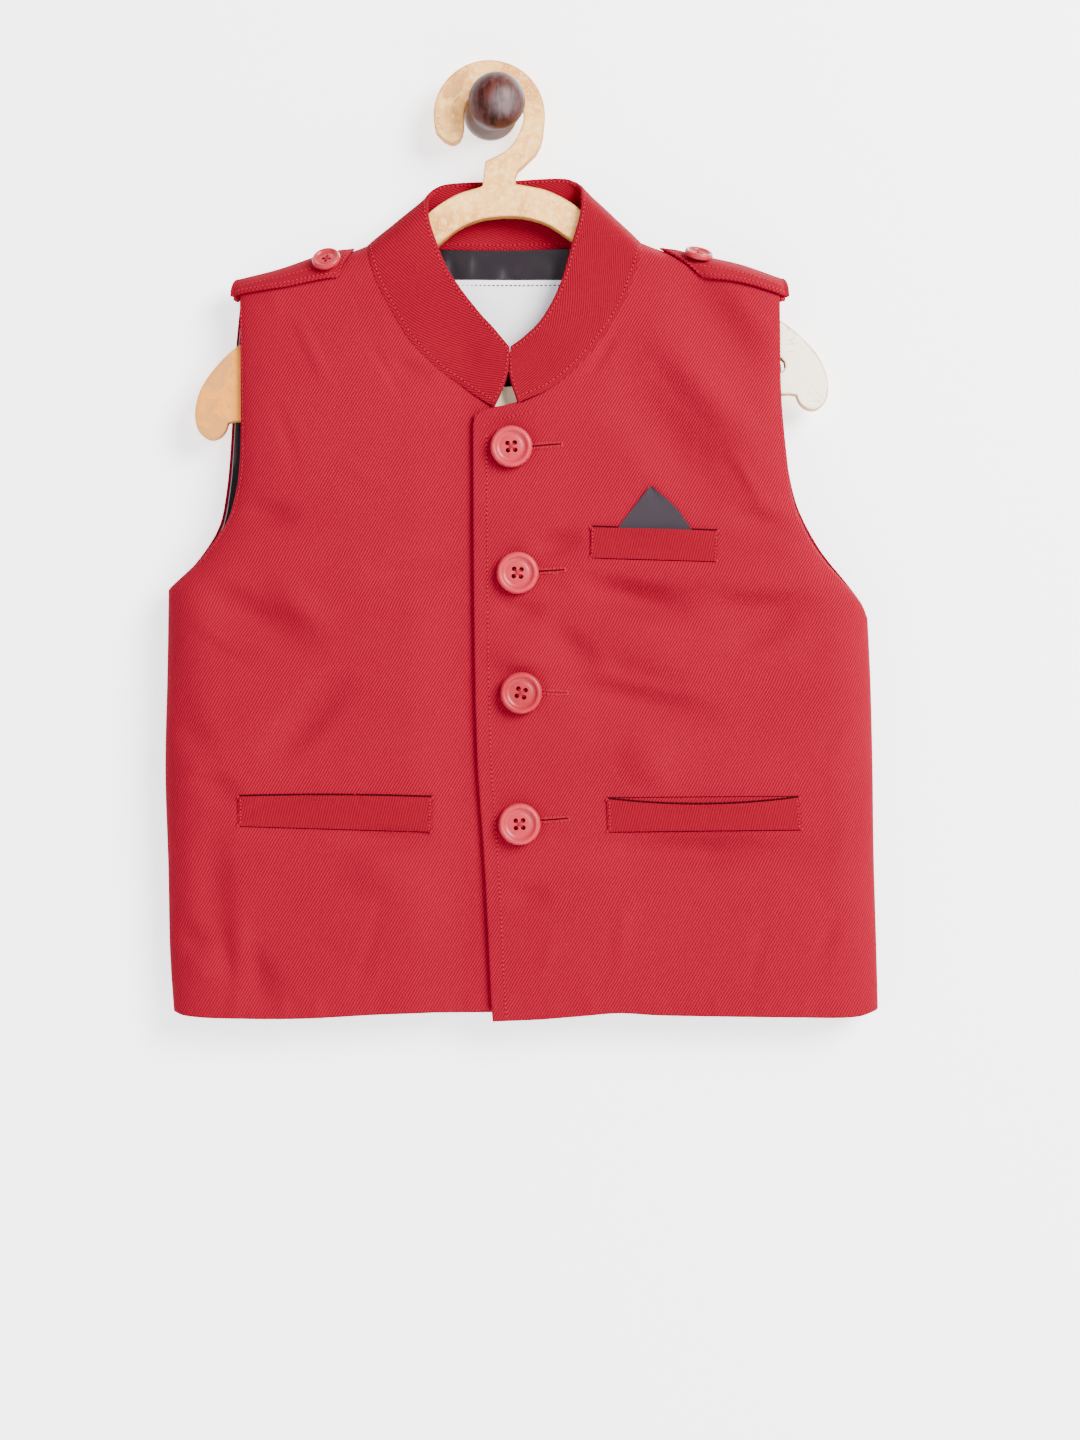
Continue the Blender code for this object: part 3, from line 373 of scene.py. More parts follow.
class BackSurface:
    def __init__(self, right, left):
        self.lines = {name: Line(points) for name, points in backCut.items()}
        self.fronts = (right, left)

    def left(self, v):
        return joined(v, (self.fronts[0].lines["side"], body["underarm"]),
                      (self.lines["leftArmhole"], 1.0))

    def right(self, v):
        return joined(v, (self.fronts[1].lines["side"], body["underarm"]),
                      (self.lines["rightArmhole"], 1.0))

    def top(self, u):
        low, high = body["neckLeft"], body["neckRight"]
        place = self.lines["neck"].at((u - low) / (high - low))
        place = np.where((u <= low)[..., None], self.fronts[0].lines["shoulder"].at(u / low), place)
        return np.where((u >= high)[..., None],
                        self.fronts[1].lines["shoulder"].at((1 - u) / (1 - high)), place)

    def at(self, u, v):
        place = coons(u, v, self.lines["hem"].at, self.top, self.left, self.right)
        x, z = place[..., 0], place[..., 1]
        seam = body["seamY"] - body["seamLap"]
        face = levelDepth(z, 2) + creaseHeight(backFolds, x, z) + 0.6 * creaseHeight(backCreases, x, z)
        openShare = quarter((v - body["underarm"]) / body["armholeEase"])
        border = seam + (body["armholeBackY"] - seam) * openShare
        reach = np.minimum(x - self.left(v)[..., 0], self.right(v)[..., 0] - x)
        y = border + (face - border) * quarter(reach / body["sideRoll"])
        inside = np.minimum(u - body["neckLeft"], body["neckRight"] - u)
        top = seam + (body["neckBackY"] - seam) * quarter(inside / body["neckEase"])
        y = top + (y - top) * topRound(self.top(u)[..., 1] - z)
        return np.stack([x, np.minimum(y, body["backLimitY"]), z], -1)

    def flat(self, u, v):
        side = np.where(v > body["underarm"] + 0.02, 1.0, ramp(np.minimum(u, 1 - u), 0.0, 0.03))
        inNeck = (u > body["neckLeft"]) & (u < body["neckRight"])
        return np.minimum(side, np.where(inNeck, 1.0, ramp(1 - v, 0.0, 0.006)))

    def rim(self, u, v):
        free = v * body["height"]
        return np.where(v > body["underarm"], np.minimum(free, np.minimum(u, 1 - u) * 300), free)


def inward(surface, u, v, towards, step=0.004):
    along = surface.at(np.minimum(1, u + step), v) - surface.at(np.maximum(0, u - step), v)
    up = surface.at(u, np.minimum(1, v + step)) - surface.at(u, np.maximum(0, v - step))
    normal = unit(np.cross(along, up))
    normal = np.where((normal * towards).sum(-1, keepdims=True) < 0, -normal, normal)
    normal = normal * np.stack([np.ones_like(u), surface.flat(u, v), np.ones_like(u)], -1)
    return unit(normal)


def bodyMiddle(place):
    return np.stack([12 - place[..., 0], 12 * (-13.5 - place[..., 1]),
                     np.minimum(0, -140 - place[..., 2])], -1)


def onBody(surface, u, v):
    # points and their directions away from the body
    place = surface.at(u, v)
    return place, -inward(surface, u, v, bodyMiddle(place))


def grid(columns, rows):
    return np.meshgrid(np.array(columns, float), np.array(rows, float))


rightSurface = FrontSurface(rightFront, True)
leftSurface = FrontSurface(leftFront, False)
backSurface = BackSurface(rightSurface, leftSurface)
print("surfaces ready")


# finishes: groups that several materials use

def mathNode(tree, operation, a, b=None, clamp=False):
    node = tree.nodes.new("ShaderNodeMath")
    node.operation = operation
    node.use_clamp = clamp
    for socket, value in zip(node.inputs, (a, b)):
        if isinstance(value, bpy.types.NodeSocket):
            tree.links.new(value, socket)
        elif value is not None:
            socket.default_value = value
    return node.outputs[0]


def times(tree, a, b):
    return mathNode(tree, "MULTIPLY", a, b)


def plus(tree, a, b, clamp=False):
    return mathNode(tree, "ADD", a, b, clamp)


def objectPlace(tree):
    return tree.nodes.new("ShaderNodeTexCoord").outputs["Object"]


def placeParts(tree, place):
    split = tree.nodes.new("ShaderNodeSeparateXYZ")
    tree.links.new(place, split.inputs[0])
    return split.outputs


def newGroup(name, inputs, outputs):
    group = bpy.data.node_groups.new(name, "ShaderNodeTree")
    for kind, label, value in inputs:
        socket = group.interface.new_socket(name=label, in_out="INPUT", socket_type=kind)
        if value is not None:
            socket.default_value = value
    for kind, label in outputs:
        group.interface.new_socket(name=label, in_out="OUTPUT", socket_type=kind)
    return group, group.nodes.new("NodeGroupInput"), group.nodes.new("NodeGroupOutput")


def noiseNode(tree, vector, scale, detail=2.0, roughness=0.5, distortion=0.0):
    node = tree.nodes.new("ShaderNodeTexNoise")
    node.inputs["Scale"].default_value = scale
    node.inputs["Detail"].default_value = detail
    node.inputs["Roughness"].default_value = roughness
    node.inputs["Distortion"].default_value = distortion
    tree.links.new(vector, node.inputs["Vector"])
    return node.outputs["Fac"]


def rangeNode(tree, value, low, high, toLow=0.0, toHigh=1.0):
    node = tree.nodes.new("ShaderNodeMapRange")
    node.interpolation_type = "SMOOTHSTEP"
    tree.links.new(value, node.inputs["Value"])
    for label, number in (("From Min", low), ("From Max", high), ("To Min", toLow), ("To Max", toHigh)):
        node.inputs[label].default_value = number
    return node.outputs["Result"]


def mixNode(tree, factor, a, b):
    node = tree.nodes.new("ShaderNodeMix")
    node.data_type = "RGBA"
    for socket, value in ((node.inputs[0], factor), (node.inputs[6], a), (node.inputs[7], b)):
        if isinstance(value, bpy.types.NodeSocket):
            tree.links.new(value, socket)
        elif isinstance(value, (tuple, list)):
            socket.default_value = (*value[:3], 1)
        else:
            socket.default_value = value
    return node.outputs[2]


def buildWeave():
    # slanted twill ridges, each broken into short yarns
    group, start, end = newGroup("twillWeave", [
        ("NodeSocketVector", "Place", None), ("NodeSocketFloat", "Turn", 1.0),
        ("NodeSocketFloat", "Pitch", 0.001), ("NodeSocketFloat", "Waver", 1.0)],
        [("NodeSocketFloat", "Ridge"), ("NodeSocketFloat", "Yarn")])
    place = start.outputs["Place"]
    x, y, _ = placeParts(group, place)
    cos = mathNode(group, "COSINE", start.outputs["Turn"])
    sin = mathNode(group, "SINE", start.outputs["Turn"])
    across = mathNode(group, "SUBTRACT", times(group, x, sin), times(group, y, cos))
    along = plus(group, times(group, x, cos), times(group, y, sin))
    turns = times(group, mathNode(group, "DIVIDE", across, start.outputs["Pitch"]), 2 * math.pi)
    waver = times(group, mathNode(group, "SUBTRACT", noiseNode(group, place, 160, 3), 0.5),
                  times(group, start.outputs["Waver"], 4.0))
    ridge = mathNode(group, "SINE", plus(group, turns, waver))
    yarns = times(group, mathNode(group, "DIVIDE", along, start.outputs["Pitch"]), 2 * math.pi / 1.15)
    yarn = mathNode(group, "SINE", plus(group, yarns, times(group, turns, 0.5)))
    for value, label in ((ridge, "Ridge"), (yarn, "Yarn")):
        half = mathNode(group, "MULTIPLY_ADD", value, 0.5)
        half.node.inputs[2].default_value = 0.5
        group.links.new(half, end.inputs[label])
    return group


def buildMottle():
    # soft patches of lighter and darker dye, with a fine fuzz
    group, start, end = newGroup("dyeMottle", [
        ("NodeSocketVector", "Place", None), ("NodeSocketFloat", "Patch", 22.0),
        ("NodeSocketFloat", "Fuzz", 1400.0)],
        [("NodeSocketFloat", "Patches"), ("NodeSocketFloat", "Lint")])
    patches = noiseNode(group, start.outputs["Place"], 1.0, 4, 0.6)
    group.links.new(start.outputs["Patch"], patches.node.inputs["Scale"])
    lint = noiseNode(group, start.outputs["Place"], 1.0, 2, 0.6)
    group.links.new(start.outputs["Fuzz"], lint.node.inputs["Scale"])
    group.links.new(patches, end.inputs["Patches"])
    group.links.new(lint, end.inputs["Lint"])
    return group


weaveGroup = buildWeave()
mottleGroup = buildMottle()


def newFinish(name, colour, roughness):
    finish = bpy.data.materials.new(name)
    finish.use_nodes = True
    shader = finish.node_tree.nodes["Principled BSDF"]
    shader.inputs["Base Color"].default_value = (*colour, 1)
    shader.inputs["Roughness"].default_value = roughness
    finish.diffuse_color = (*colour, 1)
    return finish, finish.node_tree, shader


def bumpOn(tree, shader, height, distance, strength=1.0):
    bump = tree.nodes.new("ShaderNodeBump")
    bump.inputs["Strength"].default_value = strength
    bump.inputs["Distance"].default_value = distance
    tree.links.new(height, bump.inputs["Height"])
    tree.links.new(bump.outputs["Normal"], shader.inputs["Normal"])
    return bump


def useGroup(tree, group, **values):
    node = tree.nodes.new("ShaderNodeGroup")
    node.node_tree = group
    for label, value in values.items():
        socket = node.inputs[label]
        if isinstance(value, bpy.types.NodeSocket):
            tree.links.new(value, socket)
        else:
            socket.default_value = value
    return node


def wovenFinish(name, spec):
    finish, tree, shader = newFinish(name, spec["colour"], spec["roughness"])
    coordinates = tree.nodes.new("ShaderNodeTexCoord")
    uvPlace, place = coordinates.outputs["UV"], coordinates.outputs["Object"]
    weave = useGroup(tree, weaveGroup, Place=uvPlace, Turn=math.radians(spec["turn"]),
                     Pitch=spec["pitch"], Waver=spec["waver"])
    mottle = useGroup(tree, mottleGroup, Place=place, Patch=spec["patch"], Fuzz=spec["fuzz"])
    deep = [c * spec["deep"] for c in spec["colour"]]
    light = [min(1.0, c * spec["light"] + spec["bloom"]) for c in spec["colour"]]
    amount = plus(tree, times(tree, weave.outputs["Ridge"], 0.68),
                  times(tree, weave.outputs["Yarn"], 0.10))
    amount = plus(tree, amount, times(tree, mottle.outputs["Patches"], 0.20))
    amount = plus(tree, amount, times(tree, mottle.outputs["Lint"], 0.07), True)
    tree.links.new(mixNode(tree, amount, deep, light), shader.inputs["Base Color"])
    height = plus(tree, times(tree, weave.outputs["Ridge"], 0.7),
                  times(tree, weave.outputs["Yarn"], 0.3))
    height = plus(tree, height, times(tree, mottle.outputs["Lint"], 0.25))
    bumpOn(tree, shader, height, spec["relief"], spec["strength"])
    shader.inputs["Sheen Weight"].default_value = spec["sheen"]
    shader.inputs["Sheen Roughness"].default_value = 0.45
    shader.inputs["Sheen Tint"].default_value = (*light, 1)
    shader.inputs["Specular IOR Level"].default_value = spec["gloss"]
    return finish


twill = {"colour": (0.177, 0.0014, 0.0112), "roughness": 0.9, "turn": 60, "pitch": 0.00124,
         "waver": 0.45, "patch": 24.0, "fuzz": 1500.0, "deep": 0.50, "light": 1.45, "bloom": 0.001,
         "relief": 0.00030, "strength": 0.5, "sheen": 0.02, "gloss": 0.04}
redTwill = wovenFinish("redTwill", twill)
# painted shade: the collar's copy of the twill is darker than the body's, for the shade it sits in
collarTwill = wovenFinish("collarTwill", {**twill, "turn": -26, "colour": (0.150, 0.0010, 0.0085)})
tabTwill = wovenFinish("tabTwill", {**twill, "turn": 40, "colour": (0.162, 0.0011, 0.0095)})
# painted shade: the welts' copy of the twill is darker, like the collar's
weltTwill = wovenFinish("weltTwill", {
    **twill, "turn": 76, "colour": (0.150, 0.0010, 0.0085), "deep": 0.62, "light": 1.32, "strength": 0.3})
satinFinish = wovenFinish("blackSatin", {
    **twill, "colour": (0.0068, 0.0038, 0.0062), "roughness": 0.34, "turn": 0, "pitch": 0.0005,
    "deep": 0.75, "light": 1.25, "bloom": 0.001, "relief": 0.00006, "strength": 0.3,
    "sheen": 0.0, "gloss": 0.28, "patch": 14.0})
tapeFinish = wovenFinish("labelTape", {
    **twill, "colour": (0.78, 0.78, 0.80), "roughness": 0.6, "turn": 90, "pitch": 0.0006,
    "deep": 0.92, "light": 1.05, "bloom": 0.0, "relief": 0.00008, "strength": 0.4,
    "sheen": 0.0, "gloss": 0.35})
squareFinish = wovenFinish("greyCloth", {
    **twill, "colour": (0.020, 0.0145, 0.0195), "roughness": 0.7, "turn": 45, "pitch": 0.0005,
    "deep": 0.8, "light": 1.25, "bloom": 0.01, "relief": 0.00008, "strength": 0.4, "sheen": 0.1})


def threadFinish(name, colour):
    finish, tree, shader = newFinish(name, colour, 0.8)
    shader.inputs["Specular IOR Level"].default_value = 0.05
    place = objectPlace(tree)
    strands = noiseNode(tree, place, 1800, 2)
    deep, light = [c * 0.7 for c in colour], [min(1, c * 1.25) for c in colour]
    tree.links.new(mixNode(tree, strands, deep, light), shader.inputs["Base Color"])
    bumpOn(tree, shader, strands, 0.0001, 0.5)
    return finish


redThread = threadFinish("redThread", (0.285, 0.0060, 0.0205))
# a near-black red for painted shade in needle holes, along the collar's foot, at pocket mouths and in
# buttonhole slits
paintedShade = threadFinish("paintedShade", (0.022, 0.0002, 0.0010))
darkThread = threadFinish("darkThread", (0.020, 0.013, 0.024))


def buttonFinish(name, spec):
    finish, tree, shader = newFinish(name, spec["colour"], spec["roughness"])
    place = objectPlace(tree)
    clouds = noiseNode(tree, place, 260, 3)
    grit = noiseNode(tree, place, 2600, 2)
    deep, light = [c * 0.86 for c in spec["colour"]], [min(1, c * 1.12) for c in spec["colour"]]
    tree.links.new(mixNode(tree, clouds, deep, light), shader.inputs["Base Color"])
    tree.links.new(rangeNode(tree, grit, 0.3, 0.7, spec["roughness"] - 0.05, spec["roughness"] + 0.08),
                   shader.inputs["Roughness"])
    bumpOn(tree, shader, grit, 0.00003, 0.3)
    shader.inputs["Coat Weight"].default_value = 0.07
    shader.inputs["Coat Roughness"].default_value = 0.15
    shader.inputs["Specular IOR Level"].default_value = 0.2
    shader.inputs["Subsurface Weight"].default_value = 0.06
    shader.inputs["Subsurface Scale"].default_value = 0.001
    return finish


paleButton = buttonFinish("frontButtonPlastic", {"colour": (0.36, 0.0155, 0.030), "roughness": 0.36})
deepButton = buttonFinish("deepButtonPlastic", {"colour": (0.29, 0.0075, 0.018), "roughness": 0.36})


paint = {
    "cream": (0.80, 0.43, 0.110), "tan": (0.64, 0.27, 0.045), "light": (0.88, 0.57, 0.215),
    "pale": (0.92, 0.84, 0.64), "warm": (0.62, 0.215, 0.003), "bare": (0.40, 0.17, 0.035),
    # the bar colour is painted light on the bar seen under the collar, not a colour of the paint
    "worn": (0.42, 0.16, 0.022), "bar": (0.98, 0.87, 0.60), "crack": (0.30, 0.19, 0.08),
    "speck": (0.26, 0.22, 0.10),
}


def paintFinish():
    # cream paint over board: cloudy, cracked, chipped at its edges, with painted light on the bar seen
    # under the collar
    finish, tree, shader = newFinish("wornPaint", (0.82, 0.68, 0.44), 0.62)
    place = objectPlace(tree)
    x, _, z = placeParts(tree, place)
    edge = tree.nodes.new("ShaderNodeAttribute")
    edge.attribute_name = "edgeWear"
    clouds = noiseNode(tree, place, 60, 6, 0.68)
    fine = noiseNode(tree, place, 330, 4, 0.7)
    colour = mixNode(tree, rangeNode(tree, clouds, 0.38, 0.64), paint["cream"], paint["tan"])
    colour = mixNode(tree, rangeNode(tree, fine, 0.46, 0.62, 0.0, 0.7), colour, paint["light"])
    # the paint is paler towards the end at positive x, and warmer with more bare patches towards the end at
    # negative x
    pale = rangeNode(tree, x, 0.09, 0.135)
    colour = mixNode(tree, pale, colour, paint["pale"])
    warm = times(tree, rangeNode(tree, x, -0.085, -0.125), rangeNode(tree, fine, 0.34, 0.56, 0.84, 1.0))
    colour = mixNode(tree, warm, colour, paint["warm"])
    hookWear = times(tree, rangeNode(tree, z, -0.024, -0.006),
                     rangeNode(tree, x, -0.006, -0.020, 0.03, 0.13))
    blotch = noiseNode(tree, place, 80, 6, 0.70, 0.7)
    ochre = rangeNode(tree, x, -0.095, -0.135, 0.0, 0.16)
    bare = rangeNode(tree, plus(tree, plus(tree, blotch, ochre), hookWear), 0.62, 0.71)
    colour = mixNode(tree, times(tree, bare, 0.75), colour, paint["bare"])
    worn = rangeNode(tree, times(tree, edge.outputs["Fac"], plus(tree, blotch, 0.60)), 0.52, 1.05)
    away = mathNode(tree, "ABSOLUTE", x)
    # painted light: the bar seen under the collar is paled to cream and kept clear of wear
    bar = times(tree, rangeNode(tree, away, 0.03, 0.05, 1.0, 0.0), rangeNode(tree, z, -0.118, -0.128))
    worn = mathNode(tree, "SUBTRACT", worn, bar, True)
    colour = mixNode(tree, times(tree, worn, 0.85), colour, paint["worn"])
    colour = mixNode(tree, times(tree, bar, 0.8), colour, paint["bar"])
    cells = tree.nodes.new("ShaderNodeTexVoronoi")
    cells.feature = "DISTANCE_TO_EDGE"
    cells.inputs["Scale"].default_value = 150
    warp = tree.nodes.new("ShaderNodeVectorMath")
    warp.operation = "MULTIPLY_ADD"
    warp.inputs[1].default_value = (0.02, 0.02, 0.02)
    spread = tree.nodes.new("ShaderNodeTexNoise")
    spread.inputs["Scale"].default_value = 70
    tree.links.new(place, spread.inputs["Vector"])
    tree.links.new(spread.outputs["Color"], warp.inputs[0])
    tree.links.new(place, warp.inputs[2])
    tree.links.new(warp.outputs[0], cells.inputs["Vector"])
    line = rangeNode(tree, cells.outputs["Distance"], 0.0, 0.045, 1.0, 0.0)
    where = rangeNode(tree, noiseNode(tree, place, 60, 3), 0.52, 0.66)
    crack = times(tree, line, where)
    colour = mixNode(tree, times(tree, crack, 0.55), colour, paint["crack"])
    specks = rangeNode(tree, noiseNode(tree, place, 620, 2), 0.70, 0.76)
    colour = mixNode(tree, times(tree, specks, 0.6), colour, paint["speck"])
    tree.links.new(colour, shader.inputs["Base Color"])
    height = mathNode(tree, "SUBTRACT", times(tree, fine, 0.5), crack)
    height = mathNode(tree, "SUBTRACT", height, times(tree, bare, 0.6))
    bumpOn(tree, shader, height, 0.00025, 0.7)
    tree.links.new(rangeNode(tree, fine, 0.3, 0.7, 0.5, 0.72), shader.inputs["Roughness"])
    return finish


# the pale spot colour and its place give a painted highlight on the peg's ball
stain = {
    "deep": (0.008, 0.0018, 0.0015), "grain": (0.060, 0.012, 0.008), "cloud": (0.12, 0.040, 0.032),
    "paintedHighlight": (0.125, 0.098, 0.098), "dust": (0.165, 0.135, 0.132), "paintedHighlightPlace": (0.004, -0.0415, -0.003),
}


def stainFinish():
    # dark stained, turned wood with a painted highlight on the ball and a dusty flange
    finish, tree, shader = newFinish("stainedWood", (0.10, 0.030, 0.020), 0.42)
    place = objectPlace(tree)
    stretch = tree.nodes.new("ShaderNodeMapping")
    stretch.inputs["Rotation"].default_value = (0.25, 0.0, 0.5)
    stretch.inputs["Scale"].default_value = (1.0, 0.35, 0.22)
    tree.links.new(place, stretch.inputs["Vector"])
    grain = noiseNode(tree, stretch.outputs[0], 420, 5, 0.65, 0.4)
    clouds = noiseNode(tree, place, 90, 4, 0.6)
    colour = mixNode(tree, rangeNode(tree, grain, 0.36, 0.68), stain["deep"], stain["grain"])
    colour = mixNode(tree, rangeNode(tree, clouds, 0.52, 0.70, 0.0, 0.5), colour, stain["cloud"])
    y = placeParts(tree, place)[1]
    # painted highlight: a pale spot on the front of the ball, streaked by the grain
    paintedHighlight = tree.nodes.new("ShaderNodeVectorMath")
    paintedHighlight.operation = "DISTANCE"
    paintedHighlight.inputs[1].default_value = stain["paintedHighlightPlace"]
    tree.links.new(place, paintedHighlight.inputs[0])
    spot = times(tree, rangeNode(tree, paintedHighlight.outputs["Value"], 0.0105, 0.0015),
                 rangeNode(tree, grain, 0.30, 0.62, 0.45, 0.9))
    colour = mixNode(tree, spot, colour, stain["paintedHighlight"])
    dust = rangeNode(tree, y, -0.0135, -0.0100, 0.0, 0.88)
    colour = mixNode(tree, dust, colour, stain["dust"])
    tree.links.new(colour, shader.inputs["Base Color"])
    tree.links.new(rangeNode(tree, grain, 0.3, 0.7, 0.36, 0.50), shader.inputs["Roughness"])
    bumpOn(tree, shader, grain, 0.00018, 0.5)
    shader.inputs["IOR"].default_value = 1.22
    shader.inputs["Specular IOR Level"].default_value = 0.4
    return finish


wornPaint = paintFinish()
stainedWood = stainFinish()
print("finishes ready")


# fronts and back

def bodyWeave(outer, sign):
    # cloth places: x carried round the sides by the length that each roll takes up
    steps = np.linalg.norm(np.diff(outer[..., :2], axis=1), axis=-1)
    spare = steps - np.abs(np.diff(outer[..., 0], axis=1))
    spare = np.concatenate([np.zeros_like(spare[:, :1]), np.cumsum(spare, axis=1)], axis=1)
    middle = spare[:, -1:] if sign else spare[:, spare.shape[1] // 2:spare.shape[1] // 2 + 1]
    spare = spare - middle
    shift = -spare if sign < 0 else spare
    return np.stack([outer[..., 0] + shift, outer[..., 2]], -1)


def panelTables(surface, columns, rows):
    u, v = grid(columns, rows)
    place, away = onBody(surface, u, v)
    soft = rimShare(surface.rim(u, v))[..., None]
    return place - away * body["cloth"] * soft, place - away * body["cloth"] * (1 - soft)


frontSpec = {"roll": 0.12, "rollSteps": 10, "columns": 74, "rowsLow": 118, "rowsHigh": 30,
             "rimColumns": (0.0018, 0.0045), "rimRows": (0.0008, 0.0022), "facing": 0.70}
shoulderRoll = [1 - share for share in rolled(0.034, 9)]


def frontPanel(name, surface, sign, node):
    rim = frontSpec["rimColumns"]
    columns = shares(rolled(frontSpec["roll"], frontSpec["rollSteps"]),
                     even(frontSpec["roll"], 1.0, frontSpec["columns"]), rim, [1 - r for r in rim])
    rows = shares(even(0, body["neck"], frontSpec["rowsLow"]), shoulderRoll, frontSpec["rimRows"],
                  even(body["neck"], shoulderRoll[-1], frontSpec["rowsHigh"]))
    outer, inner = panelTables(surface, columns, rows)
    bm = clothWall(outer, inner, bodyWeave(outer, sign))
    side = bm.verts.layers.int["clothSide"]
    layer = bm.verts.layers.float_vector["clothPlace"]
    for face in bm.faces:
        lined = all(vert[side] == 1 and vert[layer].z < frontSpec["facing"] for vert in face.verts)
        face.material_index = 1 if lined else 0
    return finishPiece(name, bm, redTwill, [node], second=satinFinish)


rightPanel = frontPanel("rightFrontCloth", rightSurface, 1, "front_right")
leftPanel = frontPanel("leftFrontCloth", leftSurface, -1, "front_left")


def backColumns():
    low, high = body["neckLeft"], body["neckRight"]
    side = 0.075
    roll = rolled(side, 8)
    return shares(roll, even(side, low, 14), even(low, high, 34), even(high, 1 - side, 14),
                  [1 - u for u in roll], (0.001, 0.003, 0.997, 0.999))


def backPanel():
    rows = shares(even(0, 0.9, 84), even(0.9, shoulderRoll[-1], 9), shoulderRoll, frontSpec["rimRows"])
    outer, inner = panelTables(backSurface, backColumns(), rows)
    return finishPiece("backCloth", clothWall(outer, inner, bodyWeave(outer, 0)), redTwill,
                       ["back"])


backPiece = backPanel()
print("fronts and back sewn")


liningSpec = {"gap": 0.35, "wall": 1.0, "lastShare": 0.9985, "peep": 2.8, "peepZ": -126.5,
              "wrinkles": [(-26, -74, 80, 14, 2.8, 1.3), (-21, -76, 84, 12, 2.4, -1.2),
                           (-16, -73, 78, 12, 2.2, 1.2), (-9, -75, 86, 12, 3.4, -0.6),
                           (6, -79, 80, 7, 3.4, -1.6), (13, -74, 60, 10, 3.0, 0.7),
                           (20, -75, 96, 10, 3.4, 0.6), (30, -76, 86, 9, 3.0, -0.6)]}


def liningPanel():
    last = liningSpec["lastShare"]
    columns = shares([min(last, max(1 - last, u)) for u in backColumns()])
    columns[-1] = last
    rows = shares(even(0, 0.86, 60), even(0.86, 0.97, 34), even(0.97, 1.0, 8))
    u, t = grid(columns, rows)
    low, high = body["neckLeft"], body["neckRight"]
    inNeck = ramp(u, low + 0.02, low + 0.07) * ramp(1 - u, 1 - high + 0.02, 1 - high + 0.07)
    v = 0.004 + t * (0.964 + 0.0305 * inNeck)
    place, away = onBody(backSurface, u, v)
    # it peeps out behind the hanger's arm
    byArm = 1 - ramp(np.abs(place[..., 2] - liningSpec["peepZ"]), 3.0, 8.0)
    place[..., 0] += liningSpec["peep"] * ramp(u, 0.965, last) * byArm
    ease = creaseHeight(liningSpec["wrinkles"] + liningSpec["small"], place[..., 0], place[..., 2])
    start = (body["cloth"] + liningSpec["gap"] + 1.1 + 0.8 * ease)[..., None]
    outer, inner = place - away * start, place - away * (start + liningSpec["wall"])
    weave = bodyWeave(outer, 0)
    return finishPiece("backLining", clothWall(outer, inner, weave), satinFinish,
                       ["back_lining"])


liningSpec["small"] = scattered(40, -140, 165, -420, -100, 80, 40, 22, 7, 0.5)
liningPiece = liningPanel()


labelSpec = {"left": -25.0, "right": 38.0, "low": -126.0, "high": -82.0, "depth": 3.75, "wall": 0.8,
             "seams": (-84.5, -124.6)}


def labelDepth(x, z):
    face = levelDepth(z, 2) + creaseHeight(backFolds, x, z)
    top = body["neckBackY"] + (face - body["neckBackY"]) * topRound(backCut["neck"][3][1] - z)
    return top - labelSpec["depth"]


def neckLabel():
    s, t = grid(even(0, 1, 42), even(0, 1, 30))
    x = labelSpec["left"] + (labelSpec["right"] - labelSpec["left"]) * s
    z = labelSpec["low"] + (labelSpec["high"] - labelSpec["low"]) * t
    y = labelDepth(x, z) - 0.25 * np.sin(5 * s + 2 * t) - 0.2 * np.sin(9 * s)
    outer = np.stack([x, y, z], -1)
    inner = outer - np.array([0, labelSpec["wall"], 0])
    bm = clothWall(outer, inner, np.stack([x, z], -1))
    return finishPiece("neckLabel", bm, tapeFinish, ["neck_label"])


labelPiece = neckLabel()


# collar

collarSpec = {
    "left": 0.385, "right": 0.615, "band": 2.2, "lap": 1.3, "bulge": 1.2, "proud": 1.35,
    "leftBow": (1.0, 2.5), "rightBow": (2.2, 2.6),
    "columns": 240, "rows": 26,
    # share of the way round, x, y, z of the upper edge
    "top": [(0.00, 6.0, -27.6, -116.6), (0.06, -1.5, -27.2, -107.5), (0.12, -8.1, -26.2, -100.2),
            (0.19, -18.3, -24.6, -86.9), (0.25, -24.5, -23.2, -76.5), (0.31, -29.3, -22.6, -64.5),
            (0.345, -32.0, -22.6, -56.0), (0.368, -33.3, -20.6, -48.5), (0.385, -33.4, -14.5, -43.0),
            (0.42, -30.5, -8.5, -37.5), (0.455, -22.0, -6.2, -35.0), (0.50, 3.0, -5.6, -33.8),
            (0.545, 28.5, -6.2, -32.6), (0.58, 37.2, -8.5, -34.0), (0.615, 40.4, -14.5, -38.4),
            (0.632, 40.4, -20.6, -44.0), (0.655, 39.5, -22.6, -52.5), (0.70, 36.0, -22.6, -65.0),
            (0.76, 30.0, -23.6, -86.0), (0.83, 21.6, -24.4, -102.1), (0.91, 12.9, -24.8, -111.0),
            (1.00, 6.4, -24.8, -115.8)],
    # dents: share round, share up, half share round, half share up, depth
    "dents": [(0.585, 0.66, 0.012, 0.34, 1.1), (0.602, 0.80, 0.010, 0.25, -0.7),
              (0.40, 0.7, 0.014, 0.3, 0.8), (0.10, 0.45, 0.05, 0.35, 0.5),
              (0.22, 0.5, 0.05, 0.4, -0.5), (0.31, 0.55, 0.03, 0.4, 0.5),
              (0.70, 0.5, 0.04, 0.4, 0.5), (0.80, 0.45, 0.05, 0.4, -0.45), (0.90, 0.5, 0.05, 0.35, 0.5),
              (0.50, 0.4, 0.04, 0.4, -0.4), (0.455, 0.5, 0.03, 0.4, 0.4)],
}


